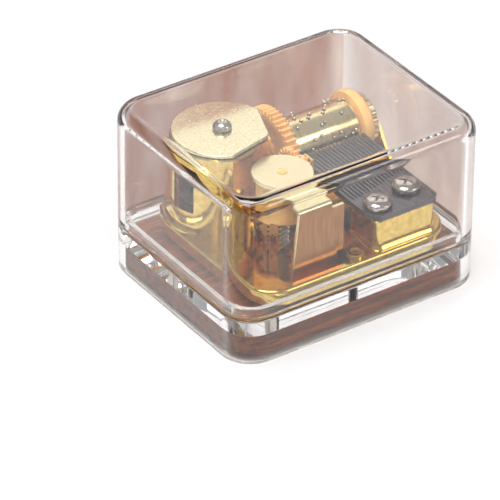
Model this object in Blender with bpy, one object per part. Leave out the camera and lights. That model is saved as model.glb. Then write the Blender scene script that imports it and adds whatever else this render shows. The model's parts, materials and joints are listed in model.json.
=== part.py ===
"""Wind up music box: an 18-note spring movement in a clear case with a walnut base panel.

The object stands on the XY plane, its long side along X and its front towards -Y.
All lengths below are in millimetres. Each mesh is made in metres.
"""

import math

import bmesh
import bpy
from mathutils import Matrix, Vector

MM = 0.001

# ---------------------------------------------------------------- driving dimensions
GAP = 0.25                    # clearance between pieces that touch or are pressed together
RUN_GAP = 0.25                # radial clearance of a shaft in its bearing

# clear case
CASE_LENGTH = 64.0
CASE_DEPTH = 52.5
CASE_HEIGHT = 40.5
CASE_CORNER = 7.5             # vertical corner radius
CASE_TOP_ROUND = 3.5          # rounding between walls and top
CASE_EDGE = 0.5               # chamfer round the base's foot
ROUND_STEPS = 4
CASE_WALL = 2.0
SEAM_HEIGHT = 11.0            # where the cover sits on the base
FLOOR_TOP = 10.5              # top of the base's floor slab
FLOOR_THICKNESS = 3.9
LIP_HEIGHT = 2.2              # locating lip above the seam
LIP_THICKNESS = 1.3
CORNER_STEPS = 6

# walnut panel in the hollow underside
PANEL_THICKNESS = 5.1

# winding key and ratchet
KEY_HALF_SPAN = 8.9
KEY_HALF_THICKNESS = 1.1
KEY_HUB_RADIUS = 3.6
KEY_DEPTH = 0.4               # how far the key reaches below the panel
FINGER_ROOM = 1.7             # round the key's ends, in its recess
RATCHET_TEETH = 16
RATCHET_RADIUS = 4.2
RATCHET_NOTCH = 0.7
RATCHET_THICKNESS = 1.0

# movement bedplate
BED_LEFT = -23.6
BED_RIGHT = 26.2
BED_FRONT = -22.2
BED_BACK = 22.0
BED_THICKNESS = 3.45
BED_CORNER = 8.0
BED_FRONT_LEFT_CORNER = 6.0
WELL_FLOOR = 1.0              # metal left under the governor well
RING_BOSS_RADIUS = 1.9
RING_BORE = 1.05
RING_BOSS_HEIGHT = 0.9
POST_SHEET = 0.7              # the right bearing post
EMBED = 0.3                   # how far a cast-on part starts below the face it stands on
BARREL_FLOOR = 0.7            # metal between the bedplate's top and the barrel's bore

# spring barrel
BARREL_X = -11.3
BARREL_Y = 11.5
BARREL_RADIUS = 11.4
BARREL_WALL = 2.7
BARREL_FLAT_ROOM = 1.37       # between the governor bracket's lobe and the flat that faces it
TRAIN_FLAT_DEPTH = 1.8        # how far inside the barrel's radius the flat that faces the train lies
TRAIN_FLAT_ANGLE = -21.5      # degrees from +X
BARREL_HEIGHT = 17.6          # above the bedplate
BARREL_PLATE_THICKNESS = 0.8
BARREL_PLATE_STEP = 0.2       # barrel wall left showing round the plate
BARREL_PLATE_CORNER = 2.4
WINDOW_HALF_WIDTH = 2.6
WINDOW_LOW = 5.0              # the window's foot and head above the bedplate
WINDOW_HIGH = 14.5
SPRING_ROOM = 0.9             # between the spring and the drive pinion
SPRING_TURNS = 5
SPRING_STRIP = 0.3
ARBOR_RADIUS = 2.0
ARBOR_NECK_RADIUS = 1.4
ARBOR_HEAD_RADIUS = 2.1
ARBOR_HEAD_HEIGHT = 1.7

# pinned drum
DRUM_RADIUS = 6.0
DRUM_BED_ROOM = 0.7           # between the pins and the bedplate
GEAR_FLOOR_ROOM = 0.525       # between the drum gear and the floor slab
GEAR_OVERHANG = 1.225         # how far the drum gear reaches past the bedplate's back
DRUM_LEFT = 4.3
DRUM_LENGTH = 18.3
DRUM_SHAFT_RADIUS = 0.8
COLLAR_RADIUS = 7.5
COLLAR_WIDTH = 2.8
END_RING_RADIUS = 6.0
END_RING_WIDTH = 1.7
PIN_RADIUS = 0.24
PIN_HEIGHT = 0.6
PLUCK_CLEARANCE = 0.15        # rigid teeth can't be plucked, so the pins pass them this far off
FOOT_OUTER = 7.4              # the end bracket's feet, from the drum's axis
DRUM_BRACKET_SHEET = 0.7
DRUM_BRACKET_EYE = 2.6        # half width and rise of the leg round the shaft's end
DRUM_BRACKET_SKIRT = 2.5      # straight part of the leg above its feet
SHAFT_END = 1.4               # shaft past the end ring
COLLAR_BEVEL = 1.0
RING_SCALLOPS = 18
SCALLOP_DEPTH = 0.2
SMALL_SCREW_RADIUS = 0.55
SMALL_SCREW_HEAD_RADIUS = 1.25

# comb
TOOTH_COUNT = 18
TOOTH_PITCH = 0.965
TOOTH_GAP = 0.3
COMB_LIFT = 1.2               # the comb's top above the drum's axis
COMB_THICKNESS = 1.3
COMB_LEFT = 5.2
COMB_FRONT = -20.9
COMB_CHAMFER = 2.2
COMB_LEFT_CUT = 3.4           # depth of the front left corner's cut
COMB_ROOT_DEPTH = 8.6         # front edge to the root of the longest tooth
COMB_ROOT_SLOPE = 4.2         # how much deeper the root of the shortest tooth is
TOOTH_TIP_LENGTH = 0.7
TOOTH_TIP_TAPER = 0.15
COMB_SCREW_HEAD_RADIUS = 3.15
COMB_SCREW_HEAD_HEIGHT = 1.9
COMB_SCREW_SHANK_RADIUS = 1.3
COMB_SCREW_RIM = 0.8          # upright edge of the head
COMB_SCREW_DEPTH = 4.0        # shank in the pedestal

# toothed wheels
TRAIN_MODULE = 0.409
DRUM_GEAR_TEETH = 48
DRUM_GEAR_WIDTH = 2.7
FIRST_PINION_TEETH = 8
FIRST_WHEEL_TEETH = 22
SECOND_PINION_TEETH = 17
WHEEL_WIDTH = 1.2
FIRST_ARBOR_LIFT = 11.0       # degrees above the drum's axis, seen from the drum
CROWN_TEETH = 36
CROWN_FACE = 0.7              # half width of its ring of teeth
CROWN_ROOM = 0.2              # between the ring of teeth and the barrel's bore
CROWN_ROOT_SHARE = 0.28       # half a tooth at its root and its tip, as shares of the pitch
CROWN_TIP_SHARE = 0.12
DRIVE_PINION_TEETH = 18
DRIVE_PINION_WIDTH = 1.4
WORM_MODULE = 0.36
WORM_STARTS = 3
WORM_WHEEL_TEETH = 17
WORM_WHEEL_WIDTH = 1.0
WORM_RADIUS = 1.1             # at the pitch line
WORM_TIP = 0.8                # the worm wheel's tooth above its pitch line, in modules
ARBOR_PIN_RADIUS = 0.5
COCK_THICKNESS = 1.2

# governor
SPINDLE_X = -7.3
SPINDLE_Y = -5.4
SPINDLE_RADIUS = 0.5
PIVOT_RADIUS = 0.4
BRACKET_SHEET = 0.8
BRACKET_LOBE_RADIUS = 6.7
BRACKET_FRONT = -18.4
BRACKET_TOP_HALF = 4.3        # half width of the front plate at its top fold
BRACKET_FOOT_HALF = 6.1       # half width at its foot
BRACKET_X = -8.3              # middle of the front plate
TAB_HALF_WIDTH = 2.5
TAB_REACH = 6.0
EAR_REACH = 2.6               # the ear beside the front plate's right edge
FLY_RADIUS = 5.6
FLY_HEIGHT = 7.3
FLY_WALL = 0.9
FLY_TOP_WALL = 1.2
FLY_HUB_WALL = 1.0
FLY_HUB_LENGTH = 3.5
FLY_ROOM = 1.25               # between the worm wheel and the fly
BUSH_RADIUS = 1.1

# ---------------------------------------------------------------- derived places
FLOOR_UNDERSIDE = FLOOR_TOP - FLOOR_THICKNESS
BED_BOTTOM = FLOOR_TOP + GAP
BED_TOP = BED_BOTTOM + BED_THICKNESS
WELL_Z = BED_BOTTOM + WELL_FLOOR
KEY_RECESS_RADIUS = KEY_HALF_SPAN + FINGER_ROOM
BARREL_BORE = BARREL_RADIUS - BARREL_WALL
BARREL_TOP = BED_TOP + BARREL_HEIGHT
BARREL_PLATE_RADIUS = BARREL_RADIUS - BARREL_PLATE_STEP
BARREL_FLAT = (math.dist((BARREL_X, BARREL_Y), (SPINDLE_X, SPINDLE_Y))
               - BRACKET_LOBE_RADIUS - BARREL_FLAT_ROOM)
BARREL_FLAT_ANGLE = math.degrees(math.atan2(SPINDLE_Y - BARREL_Y, SPINDLE_X - BARREL_X))
TRAIN_FLAT = BARREL_RADIUS - TRAIN_FLAT_DEPTH
PLATE_BOTTOM = BARREL_TOP + GAP
PLATE_TOP = PLATE_BOTTOM + BARREL_PLATE_THICKNESS

DRUM_RIGHT = DRUM_LEFT + DRUM_LENGTH
DRUM_GEAR_RIGHT = DRUM_LEFT - GAP
DRUM_GEAR_LEFT = DRUM_GEAR_RIGHT - DRUM_GEAR_WIDTH
COLLAR_LEFT = DRUM_RIGHT + GAP
COLLAR_RIGHT = COLLAR_LEFT + COLLAR_WIDTH
END_RING_LEFT = COLLAR_RIGHT + GAP
END_RING_RIGHT = END_RING_LEFT + END_RING_WIDTH

DRUM_GEAR_PITCH = TRAIN_MODULE * DRUM_GEAR_TEETH / 2
DRUM_GEAR_TIP = DRUM_GEAR_PITCH + TRAIN_MODULE
DRUM_Y = BED_BACK + GEAR_OVERHANG - DRUM_GEAR_TIP
DRUM_Z = max(FLOOR_TOP + GAP + GEAR_FLOOR_ROOM + DRUM_GEAR_TIP,
             BED_TOP + DRUM_BED_ROOM + PIN_HEIGHT + DRUM_RADIUS)
FIRST_DISTANCE = TRAIN_MODULE * (DRUM_GEAR_TEETH + FIRST_PINION_TEETH) / 2
SECOND_DISTANCE = TRAIN_MODULE * (FIRST_WHEEL_TEETH + SECOND_PINION_TEETH) / 2
FIRST_Y = DRUM_Y - FIRST_DISTANCE * math.cos(math.radians(FIRST_ARBOR_LIFT))
FIRST_Z = DRUM_Z + FIRST_DISTANCE * math.sin(math.radians(FIRST_ARBOR_LIFT))
WORM_WHEEL_PITCH = WORM_MODULE * WORM_WHEEL_TEETH / 2
SECOND_Y = SPINDLE_Y + WORM_RADIUS + WORM_WHEEL_PITCH
SECOND_Z = FIRST_Z - math.sqrt(SECOND_DISTANCE ** 2 - (FIRST_Y - SECOND_Y) ** 2)
WHEEL_LEFT = DRUM_GEAR_LEFT - 1.5 * GAP - WHEEL_WIDTH
WORM_LEAD = WORM_STARTS * math.pi * WORM_MODULE

CROWN_PITCH = BARREL_BORE - CROWN_ROOM - CROWN_FACE
CROWN_MODULE = 2 * CROWN_PITCH / CROWN_TEETH
SPRING_RADIUS = CROWN_PITCH - DRIVE_PINION_WIDTH / 2 - SPRING_ROOM
DRIVE_PITCH = CROWN_MODULE * DRIVE_PINION_TEETH / 2
CROWN_PITCH_Z = DRUM_Z - DRIVE_PITCH
CONTACT_X = BARREL_X + math.sqrt(CROWN_PITCH ** 2 - (DRUM_Y - BARREL_Y) ** 2)

COMB_TOP = DRUM_Z + COMB_LIFT
COMB_BOTTOM = COMB_TOP - COMB_THICKNESS
PEDESTAL_TOP = COMB_BOTTOM - GAP
COMB_RIGHT = COMB_LEFT + TOOTH_COUNT * TOOTH_PITCH
COMB_TIP_Y = DRUM_Y - DRUM_RADIUS - PIN_HEIGHT - PLUCK_CLEARANCE
COMB_SCREWS = ((COMB_LEFT + 3.9, COMB_FRONT + 4.2), (COMB_LEFT + 12.9, COMB_FRONT + 6.3))
PEDESTAL_LEFT = COMB_LEFT + 1.0
PEDESTAL_RIGHT = COMB_RIGHT - 0.9
PEDESTAL_FRONT = COMB_FRONT + 0.4
PEDESTAL_BACK = COMB_FRONT + 11.0

FLY_BOTTOM = SECOND_Z + WORM_WHEEL_PITCH + WORM_TIP * WORM_MODULE + FLY_ROOM
FLY_TOP = FLY_BOTTOM + FLY_HEIGHT
BRACKET_TOP = FLY_TOP + 2 * GAP + BRACKET_SHEET

DRUM_FOOT_X = COLLAR_LEFT - 1.9
FOOT_TOP = BED_TOP + GAP + DRUM_BRACKET_SHEET
COLLAR_DROP = min(DRUM_Z - FOOT_TOP - GAP, COLLAR_RADIUS)
FOOT_INNER = max(math.sqrt(COLLAR_RADIUS ** 2 - COLLAR_DROP ** 2), SMALL_SCREW_HEAD_RADIUS)
BRACKET_SCREW = (BRACKET_X, BRACKET_FRONT + 3.8)
RING_BOSS = (BRACKET_X + 9.9, BRACKET_FRONT - 0.8)

CASE_SCREWS = ((BED_LEFT + 4.2, BED_FRONT + 7.2), (BED_RIGHT - 12.0, BED_BACK - 2.6),
               (PEDESTAL_RIGHT - 3.5, PEDESTAL_BACK - 2.6))
CASE_SCREW_RADIUS = 1.2
CASE_SCREW_HEAD_RADIUS = 2.2
CASE_SCREW_HEAD_HEIGHT = 1.5
SCREW_BEVEL = 0.6             # rounding of a case screw's head
SCREW_SKIN = 0.6              # bedplate left over a case screw's end
CROSS_HALF_WIDTH = 0.3
PLATE_HEAD_EDGE = 0.5         # upright edge of the arbor's riveted head

# ---------------------------------------------------------------- finishes
FINISHES = {
    "clear_acrylic": ((0.92, 0.93, 0.93), 0.03, 0.0),
    "walnut": ((0.24, 0.11, 0.06), 0.45, 0.0),
    "gold_plate": ((0.90, 0.68, 0.28), 0.12, 1.0),
    "pale_gold": ((0.86, 0.78, 0.55), 0.22, 1.0),
    "nickel": ((0.72, 0.68, 0.64), 0.12, 1.0),
    "comb_steel": ((0.16, 0.15, 0.16), 0.30, 1.0),
    "spring_steel": ((0.25, 0.24, 0.26), 0.30, 1.0),
    "tan_nylon": ((0.86, 0.52, 0.20), 0.40, 0.0),
    "bright_steel": ((0.60, 0.60, 0.60), 0.20, 1.0),
}


# ---------------------------------------------------------------- making meshes
def clear_scene():
    for obj in list(bpy.data.objects):
        bpy.data.objects.remove(obj, do_unlink=True)


def make_material(name, finish):
    colour, roughness, metallic = FINISHES[finish]
    material = bpy.data.materials.new(name)
    material.use_nodes = True
    shader = material.node_tree.nodes["Principled BSDF"]
    shader.inputs["Base Color"].default_value = (*colour, 1.0)
    shader.inputs["Roughness"].default_value = roughness
    shader.inputs["Metallic"].default_value = metallic
    return material


def make_object(name, vertices, faces, finish, origin=(0, 0, 0), smooth_angle=35):
    """A mesh from millimetre vertices in world places, with its origin at the given point."""
    mesh = bpy.data.meshes.new(name)
    base = Vector(origin)
    mesh.from_pydata([(Vector(v) - base) * MM for v in vertices], [], faces)
    cleaner = bmesh.new()
    cleaner.from_mesh(mesh)
    bmesh.ops.recalc_face_normals(cleaner, faces=cleaner.faces)
    cleaner.to_mesh(mesh)
    cleaner.free()
    mesh.shade_smooth()
    mesh.set_sharp_from_angle(angle=math.radians(smooth_angle))
    mesh.materials.append(make_material(name, finish))
    obj = bpy.data.objects.new(name, mesh)
    obj.location = base * MM
    bpy.context.scene.collection.objects.link(obj)
    return obj


def loft(rings, closed=False):
    """Skin rings of equal point counts: capped at both ends, or closed into a tube."""
    count = len(rings[0])
    vertices = [point for ring in rings for point in ring]
    faces = []
    last = len(rings) if closed else len(rings) - 1
    for level in range(last):
        low = level * count
        high = (level + 1) % len(rings) * count
        for i in range(count):
            j = (i + 1) % count
            faces.append((low + i, low + j, high + j, high + i))
    if not closed:
        faces.append(tuple(reversed(range(count))))
        faces.append(tuple(range(last * count, (last + 1) * count)))
    return vertices, faces


def place(axis, u, v, w):
    """A point u, v across the given axis and w along it, as a world place."""
    if axis == "x":
        return (w, u, v)
    if axis == "y":
        return (u, w, v)
    return (u, v, w)


def circle(radius, steps, phase=0.0):
    return [(radius * math.cos(phase + 2 * math.pi * i / steps),
             radius * math.sin(phase + 2 * math.pi * i / steps)) for i in range(steps)]


def turned(profile, axis, centre, steps=24, closed=False):
    """Turn (radius, distance along the axis) points round an axis through a centre (u, v)."""
    rings = []
    for radius, along in profile:
        rings.append([place(axis, centre[0] + u, centre[1] + v, along)
                      for u, v in circle(radius, steps)])
    return loft(rings, closed)


def tube(axis, centre, outer, inner, start, end, steps=24):
    profile = ((outer, start), (outer, end), (inner, end), (inner, start))
    return turned(profile, axis, centre, steps, closed=True)


def prism(outline, axis, start, end):
    return loft([[place(axis, u, v, w) for u, v in outline] for w in (start, end)])


def block(x0, x1, y0, y1, z0, z1):
    return prism(((x0, y0), (x1, y0), (x1, y1), (x0, y1)), "z", z0, z1)


def arc(centre, radius, start, end, steps):
    """Points on an arc, with its angles in degrees."""
    points = []
    for i in range(steps + 1):
        angle = math.radians(start + (end - start) * i / steps)
        points.append((centre[0] + radius * math.cos(angle), centre[1] + radius * math.sin(angle)))
    return points


def rounded_outline(x0, x1, y0, y1, radii, steps=CORNER_STEPS):
    """A rectangle with corner radii given front left, front right, back right, back left."""
    a, b, c, d = radii
    return (arc((x0 + a, y0 + a), a, 180, 270, steps) + arc((x1 - b, y0 + b), b, 270, 360, steps)
            + arc((x1 - c, y1 - c), c, 0, 90, steps) + arc((x0 + d, y1 - d), d, 90, 180, steps))


def case_ring(inset, z):
    """The case's outline, moved in by an inset, at a height."""
    x = CASE_LENGTH / 2 - inset
    y = CASE_DEPTH / 2 - inset
    radius = max(CASE_CORNER - inset, 0.5)
    return [(u, v, z) for u, v in rounded_outline(-x, x, -y, y, (radius,) * 4)]


def tool(name, shape):
    """A hidden body that another one is joined with or cut by."""
    obj = make_object(name, *shape, "gold_plate")
    obj.hide_render = True
    obj.display_type = "WIRE"
    return obj


def combine(target, name, shape, operation="DIFFERENCE"):
    modifier = target.modifiers.new(name, "BOOLEAN")
    modifier.operation = operation
    modifier.solver = "EXACT"
    modifier.object = tool(target.name + "_" + name, shape)


# ---------------------------------------------------------------- toothed outlines
def gear_outline(teeth, module, phase=0.0, thickness=0.42, addendum=1.0, dedendum=1.3):
    """Straight-flanked teeth, the first one centred on the phase angle in radians."""
    pitch_radius = module * teeth / 2
    pitch_angle = 2 * math.pi / teeth
    tip = pitch_radius + addendum * module
    root = pitch_radius - dedendum * module
    flank = math.tan(math.radians(20))
    half_pitch_tooth = thickness * math.pi * module / 2
    half_tip = (half_pitch_tooth - addendum * module * flank) / tip
    half_root = (half_pitch_tooth + dedendum * module * flank * 0.6) / root
    half_root = min(half_root, 0.42 * pitch_angle)
    points = []
    for tooth in range(teeth):
        middle = phase + tooth * pitch_angle
        for radius, angle in ((root, -half_root), (tip, -half_tip), (tip, half_tip), (root, half_root)):
            points.append((radius * math.cos(middle + angle), radius * math.sin(middle + angle)))
    return points


def mate_phase(teeth, phase, direction, mate_teeth):
    """The phase that puts a mating gear's gap opposite a tooth, across the line of centres."""
    share = (direction - phase) * teeth / (2 * math.pi)
    return direction + math.pi - (0.5 - share) * 2 * math.pi / mate_teeth


def gear(outline, axis, centre, start, end, bore, twist=0.0):
    """A toothed wheel with a round bore; twist turns the far face, for helical teeth."""
    hole = [(bore * u / math.hypot(u, v), bore * v / math.hypot(u, v)) for u, v in outline]
    rings = []
    for ring, along, angle in ((outline, start, 0.0), (outline, end, twist),
                               (hole, end, twist), (hole, start, 0.0)):
        turn = Matrix.Rotation(angle, 2)
        turned_ring = [turn @ Vector(point) for point in ring]
        rings.append([place(axis, centre[0] + p[0], centre[1] + p[1], along) for p in turned_ring])
    return loft(rings, closed=True)


# ---------------------------------------------------------------- case
def make_cover():
    rings = []
    inner_top = CASE_HEIGHT - CASE_WALL
    inner_round = max(CASE_TOP_ROUND - CASE_WALL, 0.5)
    for i in range(ROUND_STEPS, -1, -1):
        angle = math.pi / 2 * i / ROUND_STEPS
        inset = CASE_WALL + inner_round * (1 - math.cos(angle))
        rings.append(case_ring(inset, inner_top - inner_round * (1 - math.sin(angle))))
    rings.append(case_ring(CASE_WALL, SEAM_HEIGHT + GAP))
    rings.append(case_ring(0.0, SEAM_HEIGHT + GAP))
    for i in range(ROUND_STEPS + 1):
        angle = math.pi / 2 * i / ROUND_STEPS
        inset = CASE_TOP_ROUND * (1 - math.cos(angle))
        rings.append(case_ring(inset, CASE_HEIGHT - CASE_TOP_ROUND * (1 - math.sin(angle))))
    make_object("top_cover", *loft(rings), "clear_acrylic", smooth_angle=50)


def make_base():
    lip_outside = CASE_WALL + GAP
    lip_inside = lip_outside + LIP_THICKNESS
    lip_top = SEAM_HEIGHT + LIP_HEIGHT
    rings = [case_ring(lip_inside, FLOOR_TOP), case_ring(lip_inside, lip_top),
             case_ring(lip_outside, lip_top), case_ring(lip_outside, SEAM_HEIGHT),
             case_ring(0.0, SEAM_HEIGHT), case_ring(0.0, CASE_EDGE), case_ring(CASE_EDGE, 0.0),
             case_ring(CASE_WALL, 0.0), case_ring(CASE_WALL, FLOOR_UNDERSIDE)]
    tray = make_object("base_tray", *loft(rings), "clear_acrylic", smooth_angle=50)
    low, high = FLOOR_UNDERSIDE - 1, FLOOR_TOP + 1
    arbor = turned(((ARBOR_RADIUS + 3 * RUN_GAP, low), (ARBOR_RADIUS + 3 * RUN_GAP, high)),
                   "z", (BARREL_X, BARREL_Y))
    combine(tray, "arbor_hole", arbor)
    for number, spot in enumerate(CASE_SCREWS, 1):
        radius = CASE_SCREW_RADIUS + RUN_GAP
        combine(tray, "screw_hole_%d" % number, turned(((radius, low), (radius, high)), "z", spot, 16))


def make_panel():
    inset = CASE_WALL + GAP
    top = FLOOR_UNDERSIDE - GAP
    bottom = top - PANEL_THICKNESS
    panel = make_object("walnut_panel", *loft([case_ring(inset, bottom), case_ring(inset, top)]),
                        "walnut", smooth_angle=50)
    recess = turned(((KEY_RECESS_RADIUS, bottom - 1), (KEY_RECESS_RADIUS, top + 1)),
                    "z", (BARREL_X, BARREL_Y), 32)
    combine(panel, "key_recess", recess)
    for number, spot in enumerate(CASE_SCREWS, 1):
        radius = CASE_SCREW_HEAD_RADIUS + 2 * GAP
        hole = turned(((radius, bottom - 1), (radius, top + 1)), "z", spot, 16)
        combine(panel, "screw_access_%d" % number, hole)


def make_case_screws():
    """Pan head screws from below, through the floor slab into the bedplate."""
    for number, (x, y) in enumerate(CASE_SCREWS, 1):
        head_top = FLOOR_UNDERSIDE - GAP
        head_bottom = head_top - CASE_SCREW_HEAD_HEIGHT
        end = BED_TOP - SCREW_SKIN
        profile = ((0.7 * CASE_SCREW_HEAD_RADIUS, head_bottom),
                   (CASE_SCREW_HEAD_RADIUS, head_bottom + SCREW_BEVEL), (CASE_SCREW_HEAD_RADIUS, head_top),
                   (CASE_SCREW_RADIUS, head_top), (CASE_SCREW_RADIUS, end))
        screw = make_object("case_screw_%d" % number, *turned(profile, "z", (x, y), 16), "nickel")
        cut_cross(screw, x, y, head_bottom, 1.3, -0.7)


def cut_cross(screw, x, y, face_z, reach, depth):
    """A cross recess: two crossed slots from the head's face, depth positive when cut down."""
    half = CROSS_HALF_WIDTH
    low, high = sorted((face_z - depth, face_z + math.copysign(0.5, depth)))
    bar = ((x - reach, y - half), (x - half, y - half), (x - half, y - reach), (x + half, y - reach),
           (x + half, y - half), (x + reach, y - half), (x + reach, y + half), (x + half, y + half),
           (x + half, y + reach), (x - half, y + reach), (x - half, y + half), (x - reach, y + half))
    combine(screw, "cross_recess", prism(bar, "z", low, high))


# ---------------------------------------------------------------- movement frame
def make_bedplate():
    outline = rounded_outline(BED_LEFT, BED_RIGHT, BED_FRONT, BED_BACK,
                              (BED_FRONT_LEFT_CORNER, BED_CORNER, BED_CORNER, BED_CORNER + 3))
    bed = make_object("bedplate", *prism(outline, "z", BED_BOTTOM, BED_TOP), "gold_plate")
    cut_governor_well(bed)
    barrel = (BARREL_X, BARREL_Y)
    embed = WELL_Z - EMBED
    combine(bed, "barrel_wall", turned(((BARREL_RADIUS, embed), (BARREL_RADIUS, BARREL_TOP)),
                                       "z", barrel, 40), "UNION")
    combine(bed, "lip_clearance", block(BED_LEFT, BED_RIGHT, BED_BACK, BED_BACK + 4,
                                        BED_BOTTOM - 1, SEAM_HEIGHT + LIP_HEIGHT + GAP))
    for name, angle, distance in (("governor_flat", BARREL_FLAT_ANGLE, BARREL_FLAT),
                                  ("train_flat", TRAIN_FLAT_ANGLE, TRAIN_FLAT)):
        combine(bed, name, beyond_flat(angle, distance, FLY_BOTTOM - 0.5, BARREL_TOP + 1))
    pedestal = rounded_outline(PEDESTAL_LEFT, PEDESTAL_RIGHT, PEDESTAL_FRONT, PEDESTAL_BACK,
                               (1.6, 1.2, 1.2, 1.6), 4)
    combine(bed, "comb_pedestal", prism(pedestal, "z", embed, PEDESTAL_TOP), "UNION")
    add_bearing_posts(bed, embed)
    boss_top = BED_TOP + RING_BOSS_HEIGHT
    combine(bed, "ring_boss", turned(((RING_BOSS_RADIUS, BED_TOP - EMBED), (RING_BOSS_RADIUS, boss_top)),
                                     "z", RING_BOSS, 20), "UNION")
    combine(bed, "ring_bore", turned(((RING_BORE, BED_TOP - 0.8), (RING_BORE, boss_top + 1)),
                                     "z", RING_BOSS, 16))
    combine(bed, "barrel_bore", turned(((BARREL_BORE, BED_TOP + BARREL_FLOOR),
                                        (BARREL_BORE, BARREL_TOP + 1)), "z", barrel, 40))
    radius = ARBOR_RADIUS + RUN_GAP
    combine(bed, "arbor_hole", turned(((radius, BED_BOTTOM - 1), (radius, BED_TOP + 2)), "z", barrel))
    make_barrel_openings(bed)
    make_bed_holes(bed)


def beyond_flat(angle, distance, low, high):
    """Everything past an upright flat on the barrel, its normal at an angle in degrees."""
    centre = Vector((BARREL_X, BARREL_Y))
    out = Vector((math.cos(math.radians(angle)), math.sin(math.radians(angle))))
    side = Vector((-out.y, out.x)) * BARREL_RADIUS
    near, far = centre + out * distance, centre + out * (BARREL_RADIUS + 1)
    return prism([tuple(p) for p in (near - side, far - side, far + side, near + side)],
                 "z", low, high)


def cut_governor_well(bed):
    """The sunk floor under the governor and its wheels."""
    right = DRUM_GEAR_RIGHT + 1.2
    well = rounded_outline(BED_LEFT + 6.6, right, BED_FRONT + 1.7, SECOND_Y + 5.0,
                           (2.5, 1.0, 0.8, 0.8), 4)
    combine(bed, "governor_well", prism(well, "z", WELL_Z, BED_TOP + 1))


def add_bearing_posts(bed, embed):
    """Cast posts in the well that carry the ends of the two arbors."""
    left_post = block(SPINDLE_X - 3.0, SPINDLE_X - 2.0, SECOND_Y - 1.7, SECOND_Y + 2.0,
                      embed, SECOND_Z + 1.8)
    combine(bed, "left_post", left_post, "UNION")
    post_x = DRUM_GEAR_RIGHT + GAP
    right_post = prism(((SECOND_Y - 1.8, embed), (FIRST_Y + 2.0, embed),
                        (FIRST_Y + 1.6, FIRST_Z + 1.5), (FIRST_Y - 1.6, FIRST_Z + 1.5)),
                       "x", post_x, post_x + POST_SHEET)
    combine(bed, "right_post", right_post, "UNION")


def make_barrel_openings(bed):
    """The inspection window on the left, and clearances for the wheels that enter the barrel."""
    window_back = BARREL_Y - 0.4
    window = block(BARREL_X - BARREL_RADIUS - 1, BARREL_X - BARREL_BORE + 2.2,
                   window_back - 2 * WINDOW_HALF_WIDTH, window_back,
                   BED_TOP + WINDOW_LOW, BED_TOP + WINDOW_HIGH)
    combine(bed, "window", window)
    radius = DRIVE_PITCH + CROWN_MODULE + 2 * GAP
    left = CONTACT_X - DRIVE_PINION_WIDTH / 2 - 2 * GAP
    right = BARREL_X + BARREL_BORE - 0.1
    combine(bed, "drive_pinion_pocket", turned(((radius, left - 2), (radius, right)),
                                               "x", (DRUM_Y, DRUM_Z), 28))
    radius = WORM_WHEEL_PITCH + WORM_MODULE + 1.6 * GAP
    half = WORM_WHEEL_WIDTH / 2 + 2 * GAP
    combine(bed, "worm_wheel_pocket",
            turned(((radius, SPINDLE_X - half), (radius, SPINDLE_X + half)),
                   "x", (SECOND_Y, SECOND_Z), 24))
    radius = DRUM_SHAFT_RADIUS + RUN_GAP
    combine(bed, "drum_bearing", turned(((radius, left), (radius, BARREL_X + BARREL_RADIUS + 1)),
                                        "x", (DRUM_Y, DRUM_Z), 16))
    radius = DRUM_GEAR_TIP + GEAR_FLOOR_ROOM + 0.3 * GAP
    slot = turned(((radius, DRUM_GEAR_LEFT - 2 * GAP), (radius, DRUM_GEAR_RIGHT + 2 * GAP)),
                  "x", (DRUM_Y, DRUM_Z), 48)
    combine(bed, "drum_gear_slot", slot)
    radius = COLLAR_RADIUS + 2 * GAP
    relief = turned(((radius, COLLAR_LEFT - 2 * GAP), (radius, BED_RIGHT + 1)), "x", (DRUM_Y, DRUM_Z), 48)
    combine(bed, "collar_relief", relief)
    radius = ARBOR_PIN_RADIUS + RUN_GAP
    for name, centre in (("first", (FIRST_Y, FIRST_Z)), ("second", (SECOND_Y, SECOND_Z))):
        bearing = turned(((radius, SPINDLE_X - 4.0), (radius, DRUM_GEAR_RIGHT + 2.0)), "x", centre, 12)
        combine(bed, name + "_bearings", bearing)


def make_bed_holes(bed):
    """Blind holes for the case screws from below and for the comb screws from above."""
    radius = CASE_SCREW_RADIUS + RUN_GAP
    for number, spot in enumerate(CASE_SCREWS, 1):
        hole = turned(((radius, BED_BOTTOM - 1), (radius, BED_TOP - SCREW_SKIN + GAP)), "z", spot, 16)
        combine(bed, "case_screw_hole_%d" % number, hole)
    radius = SMALL_SCREW_RADIUS + RUN_GAP
    for number, side in enumerate((-1, 1), 1):
        spot = (DRUM_FOOT_X, DRUM_Y + side * (FOOT_INNER + FOOT_OUTER) / 2)
        hole = turned(((radius, BED_TOP - 2.4), (radius, BED_TOP + 1)), "z", spot, 12)
        combine(bed, "bracket_screw_hole_%d" % number, hole)
    hole = turned(((radius, BED_BOTTOM - 1), (radius, BED_TOP + 1)), "z", BRACKET_SCREW, 12)
    combine(bed, "governor_screw_hole", hole)
    radius = COMB_SCREW_SHANK_RADIUS + RUN_GAP
    for number, spot in enumerate(COMB_SCREWS, 1):
        end = PEDESTAL_TOP - COMB_SCREW_DEPTH - 2 * GAP
        hole = turned(((radius, end), (radius, PEDESTAL_TOP + 1)), "z", spot, 16)
        combine(bed, "comb_screw_hole_%d" % number, hole)


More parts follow.
